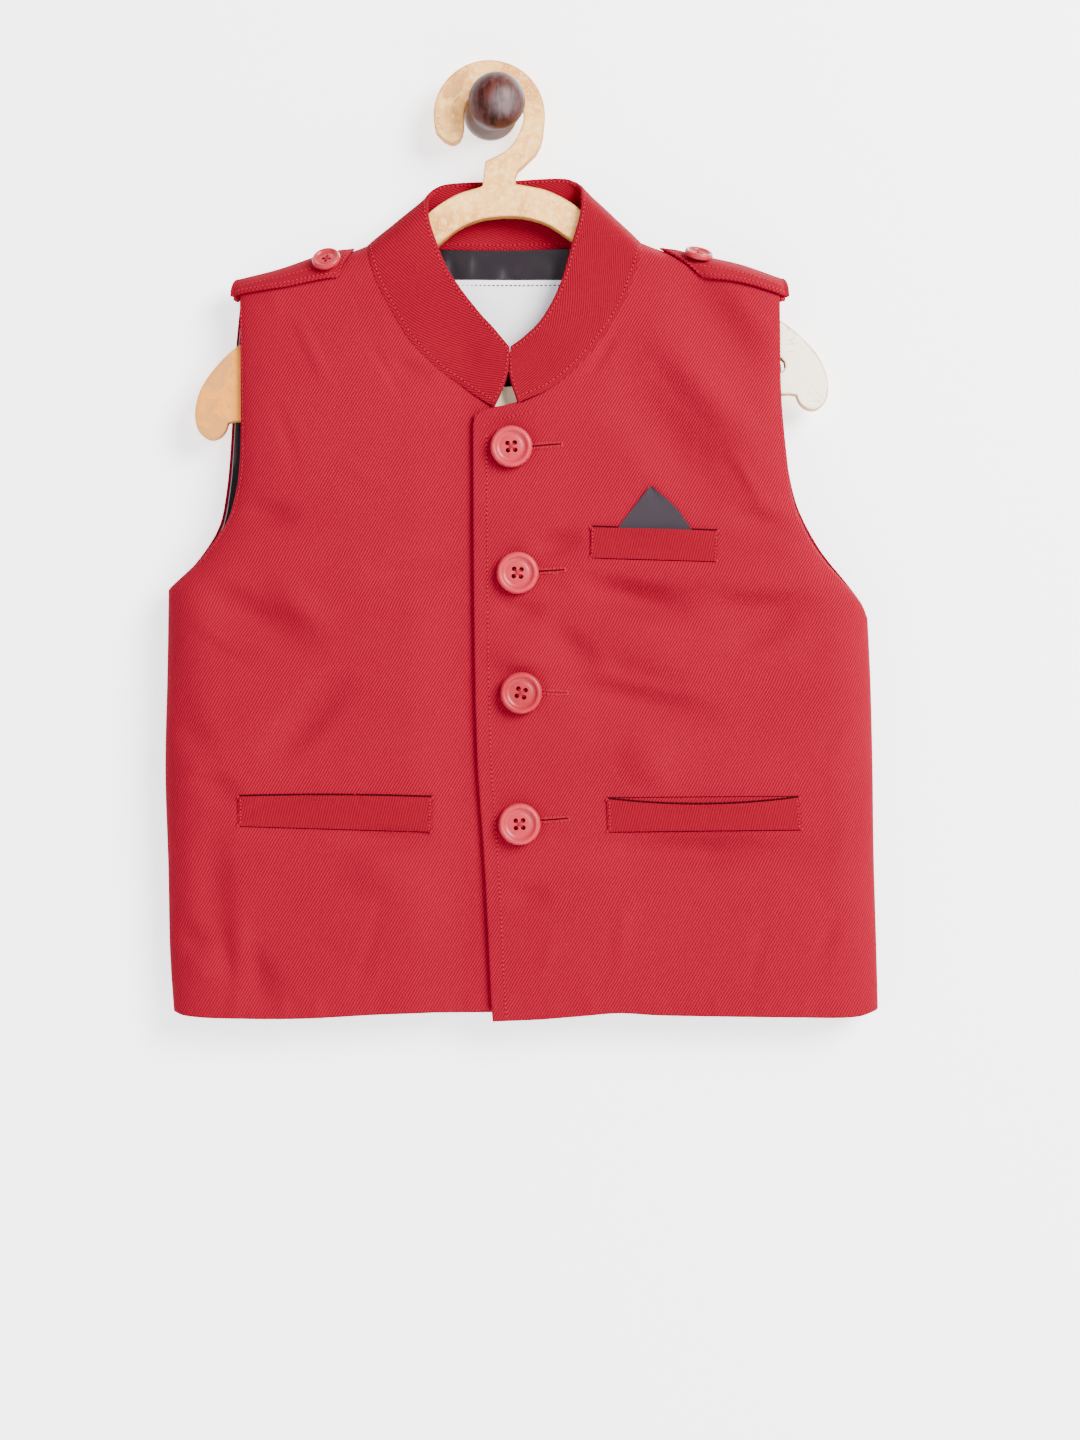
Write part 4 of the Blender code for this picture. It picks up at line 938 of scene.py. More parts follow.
class CollarSurface:
    # u runs round the neck from the under front, v from the seam to the upper edge
    def __init__(self):
        rows = np.array(collarSpec["top"], float)
        self.upper = Line(rows[:, 1:], rows[:, 0])

    def seam(self, u):
        low, high, neck = collarSpec["left"], collarSpec["right"], body["neck"]
        one = np.ones_like(u)
        place = backSurface.at(body["neckLeft"] + (body["neckRight"] - body["neckLeft"])
                               * np.clip((u - low) / (high - low), 0, 1), one)
        onRight = rightSurface.at(one, neck + (1 - neck) * np.clip(u / low, 0, 1))
        onLeft = leftSurface.at(one, neck + (1 - neck) * np.clip((1 - u) / (1 - high), 0, 1))
        place = np.where((u <= low)[..., None], onRight, place)
        return np.where((u >= high)[..., None], onLeft, place)

    def at(self, u, v):
        low, high = self.seam(u), self.upper.at(u)
        rise = unit(high - low)
        low = low - rise * collarSpec["lap"]
        out = (low + high) / 2 - np.array([4.0, -15.0, -60.0])
        out[..., 2] = 0
        out = unit(out)
        dent = np.zeros_like(u)
        for du, dv, wide, tall, depth in collarSpec["dents"]:
            dent += (depth * np.clip(1 - ((u - du) / wide) ** 2, 0, None) ** 2
                     * np.clip(1 - ((v - dv) / tall) ** 2, 0, None) ** 2)
        swell = collarSpec["bulge"] * 4 * v * (1 - v) - dent
        swell = swell + collarSpec["proud"] * (1 - ramp(v, 0.0, 0.5))
        place = low + (high - low) * v[..., None] + out * swell[..., None]
        for end, sign, (foot, middle) in ((ramp(0.05 - u, 0, 0.05), 1, collarSpec["leftBow"]),
                                          (ramp(u - 0.95, 0, 0.05), -1, collarSpec["rightBow"])):
            bow = foot * (1 - v) + middle * np.sin(math.pi * np.clip(v, 0, 1))
            place[..., 0] += sign * bow * end
        return place

    def flat(self, u, v):
        return np.ones_like(u)

    def tall(self, u):
        return np.linalg.norm(self.upper.at(u) - self.seam(u), axis=-1)

    def inside(self, u, v):
        place = self.at(u, v)
        towards = np.stack([4 - place[..., 0], 2 * (-14 - place[..., 1]), np.full_like(u, -20.0)], -1)
        direction = inward(self, u, v, towards)
        direction[..., 2] *= ramp(v, 0.0, 0.4)
        return place, unit(direction)


collarSurface = CollarSurface()


def collarPiece():
    rim = (0.0010, 0.0026)
    u, v = grid(shares(even(0, 1, collarSpec["columns"]), rim, [1 - r for r in rim]),
                shares(even(0, 1, collarSpec["rows"]), (0.008, 0.022, 0.978, 0.992)))
    place, direction = collarSurface.inside(u, v)
    free = np.minimum(np.minimum(u, 1 - u) * 310, np.minimum(v * 60, (1 - v) * 38))
    soft = rimShare(free, 1.0)[..., None]
    outer = place + direction * collarSpec["band"] * soft
    inner = place + direction * collarSpec["band"] * (1 - soft)
    middle = clothLength(outer, 1)[len(v) // 2]
    weave = np.stack([np.broadcast_to(middle, u.shape), v * 38], -1)
    return finishPiece("collarBand", clothWall(outer, inner, weave), collarTwill, ["collar"])


collarBand = collarPiece()
print("collar on")


# pockets

pockets = {
    "chestWelt": {"corners": [(44.3, -216.9), (104.3, -218.8), (105, -204.2), (44.8, -202.4)],
                  "lift": 2.6, "crown": 0.0, "node": "welt_chest"},
    "rightWelt": {"corners": [(-122.9, -344.4), (-31.3, -347.2), (-30.6, -330.8), (-122.9, -330.4)],
                  "lift": 0.5, "crown": 0.8, "node": "welt_lower_right"},
    "leftWelt": {"corners": [(52.7, -347.2), (144.9, -346.1), (143.8, -330.8), (52.3, -331.5)],
                 "lift": 1.7, "crown": -3.0, "node": "welt_lower_left"},
}
weltWall, weltProud = 1.5, 0.6


def weltPlace(spec, s, t, lift=0.0):
    a, b, c, d = (np.array(p, float) for p in spec["corners"])
    s1, t1 = s[..., None], t[..., None]
    place = (a + (b - a) * s1) * (1 - t1) + (d + (c - d) * s1) * t1
    x, z = place[..., 0], place[..., 1] + spec["crown"] * t * 4 * s * (1 - s)
    out = spec["lift"] * t * t * np.sin(math.pi * (0.04 + 0.92 * s)) + lift
    ripple = 0.18 * np.sin(9 * s + 2 * t) * t
    return np.stack([x, frontFace(x, z) - out - ripple, z], -1)


def welt(name, spec):
    s, t = grid(shares(even(0, 1, 90), (0.004, 0.01, 0.99, 0.996)),
                shares(even(0, 1, 18), (0.02, 0.94, 0.98)))
    free = np.minimum(np.minimum(s, 1 - s) * 90, np.minimum(t * 15 + 0.4, (1 - t) * 15))
    soft = weltWall * rimShare(free, 1.0)
    proud = weltProud * (1 - 0.5 * rimShare(free, 1.0))
    outer = weltPlace(spec, s, t, proud)
    inner = weltPlace(spec, s, t, weltProud - weltWall) - np.stack([soft * 0, soft, soft * 0], -1)
    weave = np.stack([outer[..., 0], outer[..., 2]], -1)
    return finishPiece(name, clothWall(outer, inner, weave), weltTwill, [spec["node"]])


weltPieces = [welt(name, spec) for name, spec in pockets.items()]


squareCut = {"corners": [(56.0, -204.6), (94.0, -205.6), (85.3, -193.5), (73.1, -182.5)], "wall": 0.6}


def pocketSquare():
    s, t = grid(even(0, 1, 40), even(0, 0.97, 40))
    low, high, bend, tip = (np.array(p, float) for p in squareCut["corners"])
    edge = Line([high, bend, tip]).at(t)
    left = low + (tip - low) * t[..., None]
    place = left + (edge - left) * s[..., None]
    x, z = place[..., 0], place[..., 1]
    y = frontFace(x, z) - 0.12 - t * (0.5 + 0.35 * np.sin(6 * s + 1))
    outer = np.stack([x, y - squareCut["wall"], z], -1)
    inner = np.stack([x, y, z], -1)
    bm = clothWall(outer, inner, np.stack([x, z], -1))
    return finishPiece("pocketSquare", bm, squareFinish, ["pocket_square"])


squarePiece = pocketSquare()


# shoulder tabs

tabs = {
    "rightTab": {"corner": 0.72, "tip": 0.875, "dropInner": 11.0, "button": (0.85, -0.57),
                 "left": False, "node": "tab_right"},
    "leftTab": {"corner": 0.53, "tip": 0.84, "dropInner": 9.0, "button": (0.79, -0.34),
                "left": True, "node": "tab_left"},
}
tabCommon = {"turnDown": 4.0, "clear": 0.9, "spread": 1.4, "lay": 0.8, "wall": 1.7, "dropOuter": 7.0}


class TabSurface:
    # s runs from the outer end to the point, w from the front to the rear edge
    def __init__(self, spec):
        self.spec = spec
        self.front = leftSurface if spec["left"] else rightSurface

    def at(self, s, w, out):
        spec = self.spec
        share = np.maximum(0, s) * (spec["corner"] + (spec["tip"] - spec["corner"]) * (1 - np.abs(w)))
        drop = tabCommon["dropOuter"] + (spec["dropInner"] - tabCommon["dropOuter"]) * share
        v = 1 - np.abs(w) ** tabCommon["spread"] * drop / body["height"]
        backU = 1 - share * (1 - body["neckRight"]) if spec["left"] else share * body["neckLeft"]
        onFront, outFront = onBody(self.front, share, v)
        onBack, outBack = onBody(backSurface, backU, v)
        place = np.where((w < 0)[..., None], onFront, onBack)
        normal = np.where((w < 0)[..., None], outFront, outBack)
        level = (np.abs(w) < 0.02)[..., None]
        top = onFront.copy()
        top[..., 1] = body["seamY"]
        place = np.where(level, top, place)
        normal = np.where(level, unit(outFront * np.array([1.0, 0.0, 1.0])), normal)
        outward = unit(np.array([1.0 if spec["left"] else -1.0, 0.0, -0.2]))
        turn = np.clip(-s / 0.5, 0, 1) * math.pi / 2
        down = np.clip((-s - 0.5) / 0.5, 0, 1) * tabCommon["turnDown"]
        reach = out * (1 - 0.4 * ramp(s, 0.86, 1.0)) + tabCommon["clear"] * np.sin(turn)
        way = normal * np.cos(turn)[..., None] + outward * np.sin(turn)[..., None]
        return place + way * reach[..., None] - normal * down[..., None]


def tabPiece(name, spec):
    surface = TabSurface(spec)
    s, w = grid(shares(even(-1, 0, 12), even(0, 1, 64), (0.985, 0.994)),
                shares(even(-1, 1, 32), (-0.985, -0.95, 0.95, 0.985)))
    free = np.minimum((1 - s) * 55, (1 - np.abs(w)) * 10)
    free = np.minimum(free, (s + 1) * 7)
    soft = tabCommon["wall"] * rimShare(free, 0.9)
    outer = surface.at(s, w, tabCommon["lay"] + tabCommon["wall"] - soft)
    inner = surface.at(s, w, tabCommon["lay"] + soft - 0.3)
    weave = np.stack([clothLength(outer, 1), clothLength(outer, 0)], -1)
    piece = finishPiece(name, clothWall(outer, inner, weave), tabTwill, [spec["node"]],
                        smooth=60)
    return piece, surface


tabPieces = {name: tabPiece(name, spec) for name, spec in tabs.items()}
print("pockets and tabs on")


# buttons

buttons = {
    "front": {"radius": 10.0, "thick": 4.2, "hole": 1.12, "spacing": 1.72, "gap": 0.9, "steps": 64,
              "places": [(6.9, -164.2), (9.9, -224.2), (11.6, -281.2), (10.8, -343.4)],
              "turns": [4, 86, 78, 92]},
    "tab": {"radius": 6.9, "thick": 3.0, "hole": 0.8, "spacing": 1.15, "steps": 48},
}


def buttonProfile(radius, thick):
    # radius and height from the back's middle, over the rim, to the dished face's middle
    r, t = radius, thick
    return [(0, 0), (0.78 * r, 0), (0.93 * r, 0.12 * t), (r, 0.42 * t), (0.985 * r, 0.68 * t),
            (0.94 * r, 0.88 * t), (0.88 * r, 0.985 * t), (0.84 * r, t), (0.79 * r, 0.96 * t),
            (0.74 * r, 0.84 * t), (0.70 * r, 0.70 * t), (0.66 * r, 0.62 * t), (0.60 * r, 0.60 * t),
            (0.585 * r, 0.575 * t), (0.565 * r, 0.575 * t), (0.55 * r, 0.60 * t), (0.30 * r, 0.58 * t),
            (0, 0.575 * t)]


def turnedShape(profile, steps):
    bm = bmesh.new()
    verts = [bm.verts.new((r, 0, h)) for r, h in profile]
    edges = [bm.edges.new(pair) for pair in zip(verts, verts[1:])]
    bmesh.ops.spin(bm, geom=verts + edges, cent=(0, 0, 0), axis=(0, 0, 1),
                   angle=2 * math.pi, steps=steps, use_merge=True)
    bmesh.ops.remove_doubles(bm, verts=bm.verts, dist=0.0005)
    bmesh.ops.recalc_face_normals(bm, faces=bm.faces)
    return bm


def button(name, spec, matrix, turn, finish, node):
    bm = turnedShape(buttonProfile(spec["radius"], spec["thick"]), spec["steps"])
    blank = putIn(name + "Blank", meshFrom(name + "Shape", bm))
    cut = bmesh.new()
    for i in range(4):
        at = Matrix.Translation((spec["spacing"] * (1 if i % 2 else -1),
                                 spec["spacing"] * (1 if i > 1 else -1), spec["thick"] / 2))
        bmesh.ops.create_cone(cut, cap_ends=True, segments=18, radius1=spec["hole"],
                              radius2=spec["hole"], depth=3 * spec["thick"], matrix=at)
    drill = putIn(name + "Drill", meshFrom(name + "DrillShape", cut))
    holes = blank.modifiers.new("holes", "BOOLEAN")
    holes.object = drill
    holes.solver = "EXACT"
    bpy.context.view_layer.update()
    made = bmesh.new()
    made.from_object(blank, bpy.context.evaluated_depsgraph_get())
    for thing in (blank, drill):
        bpy.data.objects.remove(thing)
    place = matrix @ Matrix.Rotation(math.radians(turn), 4, "Z")
    bmesh.ops.transform(made, matrix=place, verts=made.verts)
    piece = finishPiece(name, made, finish, [node], smooth=38)
    sewn = finishPiece(name + "Thread", crossThreads(spec, place), redThread, smooth=80)
    return piece, sewn


def crossThreads(spec, place):
    # thread crosses the four holes and dips into each, over a shank behind
    beads = []
    s, top = spec["spacing"], spec["thick"] * 0.58
    for a, b in (((-s, -s), (s, s)), ((-s, s), (s, -s))):
        for shift in (-0.28, 0.28):
            way = Vector((b[0] - a[0], b[1] - a[1], 0)).normalized()
            aside = Vector((-way.y, way.x, 0)) * shift
            low, high = Vector((*a, 0)) + aside, Vector((*b, 0)) + aside
            way = [place @ (low.lerp(high, f) + Vector((0, 0, top - 0.9 + 1.5 * math.sin(math.pi * f))))
                   for f in even(0, 1, 6)]
            for p0, p1 in zip(way, way[1:]):
                bead(beads, p0, p1, 0.30, 0.30, None)
    bm = beadMesh(beads)
    shank = Matrix.Translation((0, 0, -0.9))
    bmesh.ops.create_cone(bm, cap_ends=True, segments=12, radius1=1.7, radius2=1.5,
                          depth=3.4, matrix=place @ shank)
    return bm


def bead(beads, low, high, width, height, normal, around=6, material=0):
    # one thread between two points, kept as the place of a small round bar
    way = high - low
    length = way.length
    if length < 1e-6:
        return
    way = way / length
    if normal is None:
        normal = Vector((0, -1, 0)) if abs(way.y) < 0.9 else Vector((0, 0, 1))
    side = way.cross(normal).normalized()
    up = side.cross(way)
    turn = Matrix((way * (length * 0.56), side * (width / 2), up * (height / 2))).transposed().to_4x4()
    matrix = Matrix.Translation((low + high) / 2) @ turn @ Matrix.Rotation(math.pi / 2, 4, "Y")
    beads.append((matrix, around, material))


def beadMesh(beads):
    # the bars are made a few dozen at a time and then gathered
    bm = bmesh.new()
    for start in range(0, len(beads), 60):
        some = bmesh.new()
        for matrix, around, material in beads[start:start + 60]:
            made = bmesh.ops.create_uvsphere(some, u_segments=around, v_segments=5, radius=1.0,
                                             matrix=matrix)
            if material:
                for vert in made["verts"]:
                    for face in vert.link_faces:
                        face.material_index = material
        shape = meshFrom("threads", some)
        bm.from_mesh(shape)
        bpy.data.meshes.remove(shape)
    return bm


def frontButtons():
    spec = buttons["front"]
    made = []
    for number, ((x, z), turn) in enumerate(zip(spec["places"], spec["turns"]), 1):
        ring = [(r * math.cos(a), r * math.sin(a)) for r in (0.0, 3.5, 7.0, 9.8)
                for a in [math.pi / 6 * k for k in range(12)]]
        at = np.array([(x + dx, z + dz) for dx, dz in ring])
        depth = float(frontFace(at[:, 0], at[:, 1]).min()) - spec["gap"]
        matrix = Matrix.Translation((x, depth, z)) @ Matrix.Rotation(math.pi / 2, 4, "X")
        finish = deepButton if number == 3 else paleButton
        made.append(button(f"frontButton{number}", spec, matrix, turn, finish, f"button_{number}"))
    return made


def tabButtons():
    made = []
    for name, (_, surface) in tabPieces.items():
        s, w = (np.array([value]) for value in surface.spec["button"])
        over = tabCommon["lay"] + tabCommon["wall"]
        low = Vector(surface.at(s, w, np.array([over]))[0])
        high = Vector(surface.at(s, w, np.array([over + 1.0]))[0])
        normal = (high - low).normalized()
        turn = normal.to_track_quat("Z", "Y").to_matrix().to_4x4()
        matrix = Matrix.Translation(low + normal * 0.5) @ turn
        made.append(button(name + "Button", buttons["tab"], matrix, 40, deepButton,
                           surface.spec["node"] + "_button"))
    return made


frontButtons()
tabButtons()
print("buttons sewn on")


# stitches

seamStitch = {"pitch": 2.05, "length": 1.4, "width": 0.62, "height": 0.50, "lift": 0.03, "hole": 0.55,
              "inset": 1.5, "frontInset": 6.7, "armholeInset": 2.0}


def sewRow(beads, path, away, spec=seamStitch, holes=True):
    # stitches evenly along a row of points, with a dark bead of painted shade in the needle hole between
    # them
    path, away = np.asarray(path, float), unit(np.asarray(away, float))
    gaps = np.linalg.norm(np.diff(path, axis=0), axis=1)
    along = np.concatenate([[0.0], np.cumsum(gaps)])
    count = max(1, int(along[-1] / spec["pitch"]))
    start = (along[-1] - count * spec["pitch"]) / 2

    def spot(distance):
        place = Vector([np.interp(distance, along, path[:, k]) for k in range(3)])
        out = Vector([np.interp(distance, along, away[:, k]) for k in range(3)])
        return place, out.normalized()

    for i in range(count):
        middle = start + (i + 0.5) * spec["pitch"] + chance.uniform(-0.06, 0.06)
        half = spec["length"] / 2 * chance.uniform(0.9, 1.08)
        low, outLow = spot(middle - half)
        high, outHigh = spot(middle + half)
        out = (outLow + outHigh).normalized()
        lift = out * spec["lift"]
        bead(beads, low + lift, high + lift, spec["width"], spec["height"], out)
        # a dark bead in the needle hole: painted shade
        if holes and i:
            at, out = spot(start + i * spec["pitch"])
            side = out.orthogonal().normalized()
            bead(beads, at - side * spec["hole"] / 2, at + side * spec["hole"] / 2,
                 spec["hole"], 0.16, out, 5, 1)


def towardsFront(path):
    return np.broadcast_to([0.0, -1.0, 0.0], path.shape)


def sewing(name, beads):
    return finishPiece(name, beadMesh(beads), redThread, smooth=80, second=paintedShade)


def collarStitches():
    beads = []
    u = np.array(even(0.006, 0.994, 260))
    tall = collarSurface.tall(u)
    inset = seamStitch["inset"]
    for v, back in ((1 - inset / tall, slice(60, 200)),
                    ((inset + collarSpec["lap"]) / (tall + 0.9), slice(88, 173))):
        place, direction = collarSurface.inside(u, v)
        sewRow(beads, place, -direction)
        sewRow(beads, (place + direction * collarSpec["band"])[back], direction[back])
    # painted shade: a line of dark beads along the collar's foot, where it sits on the body
    place, direction = collarSurface.inside(u, np.full_like(u, 0.0))
    line = place + direction * 1.15
    for low, high, out in zip(line, line[1:], direction):
        bead(beads, Vector(low), Vector(high), 1.15, 0.7, Vector(-out), 6, 1)
    for end in (0.0055, 0.9945):
        v = np.array(even(0.05, 0.95, 24))
        place, direction = collarSurface.inside(np.full_like(v, end), v)
        sewRow(beads, place, -direction)
    return sewing("collarStitches", beads)


def frontStitches():
    beads = []
    v = np.array(even(0.002, 0.752, 200))
    edge, side = leftSurface.edge(v)[:, 0], leftSurface.side(v)[:, 0]
    sewRow(beads, *onBody(leftSurface, 1 - seamStitch["frontInset"] / np.abs(side - edge), v))
    t = np.array(even(0, 1, 30))
    x = -7.5 + 25.1 * t
    z = -154.2 + 5.2 * t + 1.6 * t * t + 1.2 * np.sin(math.pi * t)
    path = np.stack([x, frontFace(x, z), z], -1)
    sewRow(beads, path, towardsFront(path))
    v = np.array(even(0.60, 0.975, 120))
    for surface in (leftSurface, rightSurface):
        sewRow(beads, *onBody(surface, np.full_like(v, seamStitch["armholeInset"] / 150), v), holes=False)
    return sewing("frontStitches", beads)


def pocketStitches():
    beads = []
    for spec in pockets.values():
        t = np.array(even(0.03, 0.97, 16))
        for s in (0.012, 0.988):
            place = weltPlace(spec, np.full_like(t, s), t, weltProud)
            sewRow(beads, place, towardsFront(place), {**seamStitch, "pitch": 1.7, "length": 1.2})
        # painted shade: dark lines along each pocket's mouth above the welt and along the seam below it
        s = np.array(even(0.0, 1.0, 40))
        for t0, wide, up, crown in ((1.0, 1.1, 0.4, spec["crown"]), (1.0, 0.5, 0.6, 0.0),
                                    (0.0, 0.45, -0.2, 0.0)):
            line = weltPlace({**spec, "crown": crown}, s, np.full_like(s, t0))
            line[:, 2] += up
            line[:, 1] = frontFace(line[:, 0], line[:, 2]) - 0.03
            for low, high in zip(line, line[1:]):
                bead(beads, Vector(low), Vector(high), wide, 0.12, Vector((0, -1, 0)), 6, 1)
        for s0 in (0.0, 1.0):
            for t0 in (0.02, 0.98):
                corner = weltPlace(spec, np.array([s0]), np.array([t0]), 0.2)[0]
                for k in range(4):
                    at = Vector(corner) + Vector(((k - 1.5) * 0.3, -0.15, 0))
                    bead(beads, at + Vector((0, 0, -0.8)), at + Vector((0, 0, 0.8)), 0.35, 0.35, None)
    return sewing("pocketStitches", beads)


def tabStitches():
    beads = []
    over = tabCommon["lay"] + tabCommon["wall"]

    def sewOn(surface, s, w):
        place = surface.at(s, w, np.full_like(s, over))
        sewRow(beads, place, surface.at(s, w, np.full_like(s, over + 1)) - place)

    for _, surface in tabPieces.values():
        for inset in (0.12, 0.34):
            last = 1 - inset * 0.09
            s = np.array(even(0.0, last, 50))
            for sign in (-1, 1):
                sewOn(surface, s, np.full_like(s, sign * (1 - inset)))
            w = np.array(even(-1 + inset, 1 - inset, 24))
            w = w[np.abs(w) > 0.03]
            sewOn(surface, np.full_like(w, last), w)
    return sewing("tabStitches", beads)


buttonholes = {"rows": [((17.2, -163.8), (31.1, -162.6)), ((19.9, -223.4), (32.6, -222.6)),
                        ((21.6, -280.7), (33.8, -281.2)), ((20.8, -341.7), (34.3, -340.7))],
               "pitch": 0.62, "reach": 1.75, "slit": 0.30}


def buttonholeThreads():
    beads = []
    outwards = Vector((0, -1, 0))
    for low, high in buttonholes["rows"]:
        low, high = Vector(low), Vector(high)
        way = (high - low).normalized()
        low = low - way * 4.0
        length = (high - low).length
        count = int(length / buttonholes["pitch"])
        aside = Vector((-way.y, way.x))

        def lie(p, out):
            depth = float(frontFace(np.array([p.x]), np.array([p.y]))[0])
            return Vector((p.x, depth - out, p.y))

        for i in range(count + 1):
            at = low + way * length * i / count
            reach = buttonholes["reach"] * (0.62 + 0.38 * min(1.0, (length - length * i / count) / 4))
            for sign in (-1, 1):
                skew = way * chance.uniform(-0.25, 0.25)
                near = at + aside * sign * buttonholes["slit"]
                far = at + aside * sign * reach * chance.uniform(0.8, 1.12) + skew
                bead(beads, lie(near, 0.30), lie(far, 0.08), 0.58, 0.58, outwards)
        # painted shade: a dark bead down the slit
        bead(beads, lie(low, 0.05), lie(high, 0.05), 0.55, 0.16, outwards, 6, 1)
        for k in range(5):
            at = high + way * (0.2 - 0.12 * k)
            bead(beads, lie(at + aside * 1.0, 0.08), lie(at - aside * 1.0, 0.08), 0.4, 0.4, outwards)
    return sewing("buttonholeThreads", beads)


def labelStitches():
    beads = []
    x = np.array(even(labelSpec["left"] + 1, labelSpec["right"] - 1, 40))
    for level in labelSpec["seams"]:
        z = np.full_like(x, level)
        path = np.stack([x, labelDepth(x, z) - labelSpec["wall"] - 0.15, z], -1)
        sewRow(beads, path, towardsFront(path),
               {**seamStitch, "pitch": 2.1, "length": 1.2, "height": 0.42}, False)
    return finishPiece("labelStitches", beadMesh(beads), darkThread, smooth=80)


collarStitches()
frontStitches()
pocketStitches()
tabStitches()
buttonholeThreads()
labelStitches()
print("stitches sewn")


# hanger and wall peg

hangerSpec = {"backY": -10.2, "thick": 7.4, "turn": 2.8, "hookRadius": 14.3, "hookMiddle": (-1.9, -4.5),
              "outerMiddle": (-4.0, -4.4), "outerRadius": 26.7, "barZ": -144.6, "bevel": 0.9,
              "arm": [(10.0, -38.3), (22.0, -41.6), (35.3, -49.6), (46, -61.0), (56, -70.6),
                      (68, -77.6), (92, -89.2), (117, -101.6), (131, -109.6), (141, -118.5),
                      (148.2, -128), (151.4, -137), (151.6, -144.5), (149.6, -149.8),
                      (145.3, -152.8), (140.6, -151.8), (137.6, -148.6), (136.4, -145.2)],
              "window": [(0, -52.8), (10, -53.6), (21, -57.4), (32.3, -65.6), (46, -76.4),
                         (64, -88.6), (90, -103.6), (114, -117.4), (127, -125), (131.6, -129.2),
                         (131.0, -133.2), (126, -134.4)]}


def arcPoints(middle, radius, start, end, count):
    angles = [math.radians(a) for a in even(start, end, count)]
    return [(middle[0] + radius * math.cos(a), middle[1] + radius * math.sin(a)) for a in angles]


def hookOutline():
    leftNeck = [(-8.8, -37.6), (-8.0, -31.5), (-7.0, -26.0)]
    inside = [(-1.3, -23.7), (2.6, -21.9), (5.7, -19.3), (8.0, -16.6), (9.8, -13.4)]
    rim = arcPoints(hangerSpec["hookMiddle"], hangerSpec["hookRadius"], -18, 186, 42)
    tip = [(-16.5, -9.6), (-17.2, -12.6), (-18.6, -15.2), (-20.8, -16.6), (-23.0, -16.8),
           (-26.0, -15.2), (-28.2, -12.9)]
    around = arcPoints(hangerSpec["outerMiddle"], hangerSpec["outerRadius"], 194, -12, 54)
    rightNeck = [(21.4, -15.0), (20.0, -19.6), (17.6, -23.6), (12.6, -27.9), (8.6, -31.2), (7.2, -34.0),
                 (7.0, -37.8)]
    return leftNeck + inside + rim + tip + around + rightNeck


def hangerPiece():
    arm = Line(hangerSpec["arm"])
    right = [tuple(p) for p in arm.at(np.array(even(0, 1, 110)))] + [(133.5, hangerSpec["barZ"])]
    hole = [tuple(p) for p in Line(hangerSpec["window"]).at(np.array(even(0, 1, 70)))]
    loops = [hookOutline() + right + [(-x, z) for x, z in reversed(right)],
             hole + [(-min(x, 126.5), z) for x, z in reversed(hole[1:])]]
    bm = bmesh.new()
    for loop in loops:
        verts = [bm.verts.new((x, hangerSpec["backY"], z)) for x, z in loop]
        for a, b in zip(verts, verts[1:] + verts[:1]):
            bm.edges.new((a, b))
    bmesh.ops.triangle_fill(bm, use_beauty=True, use_dissolve=False, edges=bm.edges[:])
    made = bmesh.ops.extrude_face_region(bm, geom=bm.verts[:] + bm.edges[:] + bm.faces[:],
                                         use_keep_orig=True)
    front = [item for item in made["geom"] if isinstance(item, bmesh.types.BMVert)]
    bmesh.ops.translate(bm, vec=(0, -hangerSpec["thick"], 0), verts=front)
    bmesh.ops.recalc_face_normals(bm, faces=bm.faces)
    rims = [edge for edge in bm.edges if edge.is_manifold and edge.calc_face_angle() > 1.2
            and abs(edge.verts[0].co.y - edge.verts[1].co.y) < 0.01]
    bmesh.ops.bevel(bm, geom=rims, offset=hangerSpec["bevel"], offset_type="OFFSET", segments=3,
                    profile=0.5, affect="EDGES", clamp_overlap=True, material=-1)
    wear = bm.verts.layers.float.new("edgeWear")
    for vert in bm.verts:
        flat = [face for face in vert.link_faces if abs(face.normal.y) > 0.999]
        vert[wear] = 0.82 if flat else 1.0
    faces = [face for face in bm.faces if abs(face.normal.y) > 0.999]
    bmesh.ops.inset_region(bm, faces=faces, thickness=2.1, depth=0.0, use_even_offset=True)
    for vert in set(v for face in faces if face.is_valid for v in face.verts):
        vert[wear] = 0.0
    bmesh.ops.rotate(bm, cent=(0, 0, 0), matrix=Matrix.Rotation(-math.radians(hangerSpec["turn"]), 3, "Y"),
                     verts=bm.verts)
    return finishPiece("woodenHanger", bm, wornPaint, ["hanger"], smooth=32)


pegSpec = {"ball": 13.5, "ballY": -29.0, "stem": 9.5, "flange": 12.9, "turn": 7.0, "steps": 96}


def pegPiece():
    ball, ballY, stem, flange = (pegSpec[k] for k in ("ball", "ballY", "stem", "flange"))
    meet = math.acos(stem / ball)
    profile = [(0, 2.0), (flange, 2.0), (flange, -3.0), (flange - 0.3, -3.8), (flange - 1.1, -4.5),
               (stem + 1.2, -5.2), (stem + 0.2, -5.9), (stem, -7.0)]
    profile += [(stem, y) for y in even(-9.0, ballY + ball * math.sin(meet) + 1.6, 3)]
    profile.append((stem - 0.5, ballY + ball * math.sin(meet) + 0.5))
    angles = [meet - (meet + math.pi / 2) * i / 34 for i in range(35)]
    profile += [(ball * math.cos(a), ballY + ball * math.sin(a)) for a in angles[:-1]]
    profile.append((0, ballY - ball))
    bm = turnedShape(profile, pegSpec["steps"])
    lean = (Matrix.Translation((0, ballY, 0)) @ Matrix.Rotation(math.radians(pegSpec["turn"]), 4, "Z")
            @ Matrix.Translation((0, -ballY, 0)))
    bmesh.ops.transform(bm, matrix=lean @ Matrix.Rotation(-math.pi / 2, 4, "X"), verts=bm.verts)
    cut = bmesh.ops.bisect_plane(bm, geom=bm.verts[:] + bm.edges[:] + bm.faces[:], dist=0.001,
                                 plane_co=(0, 0, 0), plane_no=(0, 1, 0), clear_outer=True)
    rim = [item for item in cut["geom_cut"] if isinstance(item, bmesh.types.BMEdge)]
    bmesh.ops.contextual_create(bm, geom=rim)
    bmesh.ops.recalc_face_normals(bm, faces=bm.faces)
    return finishPiece("wallPeg", bm, stainedWood, ["wall_peg"], smooth=35)


hangerPiece()
pegPiece()
print("hanger and peg made")
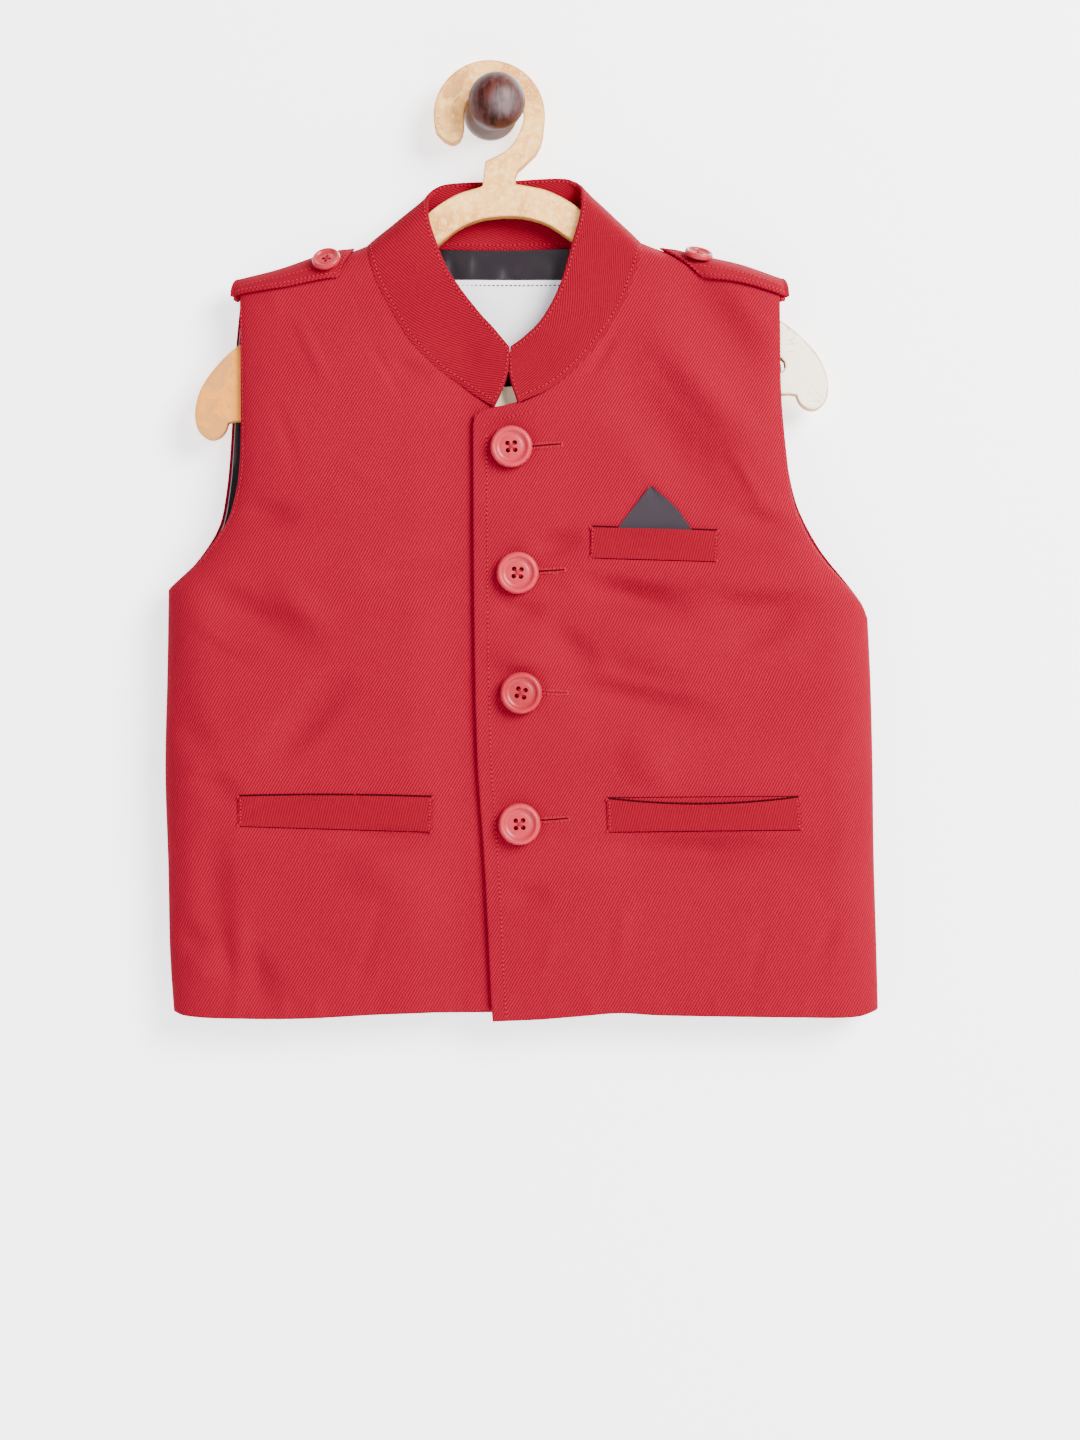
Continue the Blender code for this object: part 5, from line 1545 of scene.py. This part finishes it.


# wall, floor, light and camera

stageSpec = {"wall": 6.0, "behind": 0.0006, "floorZ": -1.25, "paint": (0.90, 0.90, 0.905), "glow": 1.5,
             "floor": (0.80, 0.80, 0.80), "air": (0.98, 0.92, 1.0, 1), "airStrength": 0.86}


def stageSheet(name, size, matrix, finish):
    bm = bmesh.new()
    bmesh.ops.create_grid(bm, x_segments=1, y_segments=1, size=size / 2, matrix=matrix)
    mesh = meshFrom(name, bm)
    mesh.materials.append(finish)
    sheet = putIn(name, mesh)
    return sheet


def stageFinish(name, colour, glow):
    # plain pale paint, open from behind so that the back and the hem can be seen
    finish, tree, shader = newFinish(name, colour, 0.95)
    shader.inputs["Specular IOR Level"].default_value = 0.1
    shader.inputs["Emission Color"].default_value = (1, 1, 1, 1)
    shader.inputs["Emission Strength"].default_value = glow
    behind = tree.nodes.new("ShaderNodeNewGeometry").outputs["Backfacing"]
    clear = tree.nodes.new("ShaderNodeBsdfTransparent")
    mix = tree.nodes.new("ShaderNodeMixShader")
    out = tree.nodes["Material Output"]
    tree.links.new(behind, mix.inputs[0])
    tree.links.new(shader.outputs[0], mix.inputs[1])
    tree.links.new(clear.outputs[0], mix.inputs[2])
    tree.links.new(mix.outputs[0], out.inputs["Surface"])
    return finish


upright = Matrix.Rotation(math.pi / 2, 4, "X")
wallSheet = stageSheet("backWall", stageSpec["wall"],
                       Matrix.Translation((0, stageSpec["behind"], 0)) @ upright,
                       stageFinish("palePaint", stageSpec["paint"], stageSpec["glow"]))
wallSheet.visible_shadow = False
stageSheet("paleFloor", stageSpec["wall"], Matrix.Translation((0, 0, stageSpec["floorZ"])),
           stageFinish("floorPaint", stageSpec["floor"], 0.0))


def softLight(name, place, aimZ, size, power, colour):
    lamp = bpy.data.lights.new(name, "AREA")
    lamp.shape = "DISK"
    lamp.size = size
    lamp.energy = power
    lamp.color = colour
    holder = putIn(name, lamp)
    holder.location = place
    way = Vector((0, 0, aimZ)) - Vector(place)
    holder.rotation_euler = way.to_track_quat("-Z", "Y").to_euler()


# name, place, height of the aim, size, power, colour
lights = [
    ("keyLight", (1.20, -1.45, 0.60), -0.26, 1.2, 152, (1.0, 0.99, 0.965)),
    ("fillLight", (-1.2, -1.8, -0.5), -0.30, 1.6, 24, (0.99, 0.93, 1.0)),
    ("backLight", (0.95, 1.25, 0.95), -0.25, 0.8, 74, (1.0, 1.0, 1.0)),
]
for row in lights:
    softLight(*row)

world = bpy.data.worlds.new("studio")
bpy.context.scene.world = world
world.use_nodes = True
air = world.node_tree.nodes["Background"]
air.inputs["Color"].default_value = stageSpec["air"]
air.inputs["Strength"].default_value = stageSpec["airStrength"]

# the picture is this tall where the jacket hangs, seen from this far in front of it
cameraSpec = {"place": (0.0205, -1.325, -0.294), "away": 1.3, "tall": 0.6857, "sensor": 36}
camera = putIn("camera", bpy.data.cameras.new("camera"))
camera.location = cameraSpec["place"]
camera.rotation_euler = (math.pi / 2, 0, 0)
camera.data.lens = cameraSpec["sensor"] * cameraSpec["away"] / cameraSpec["tall"]
camera.data.sensor_width = cameraSpec["sensor"]
bpy.context.scene.camera = camera
print("stage lit")
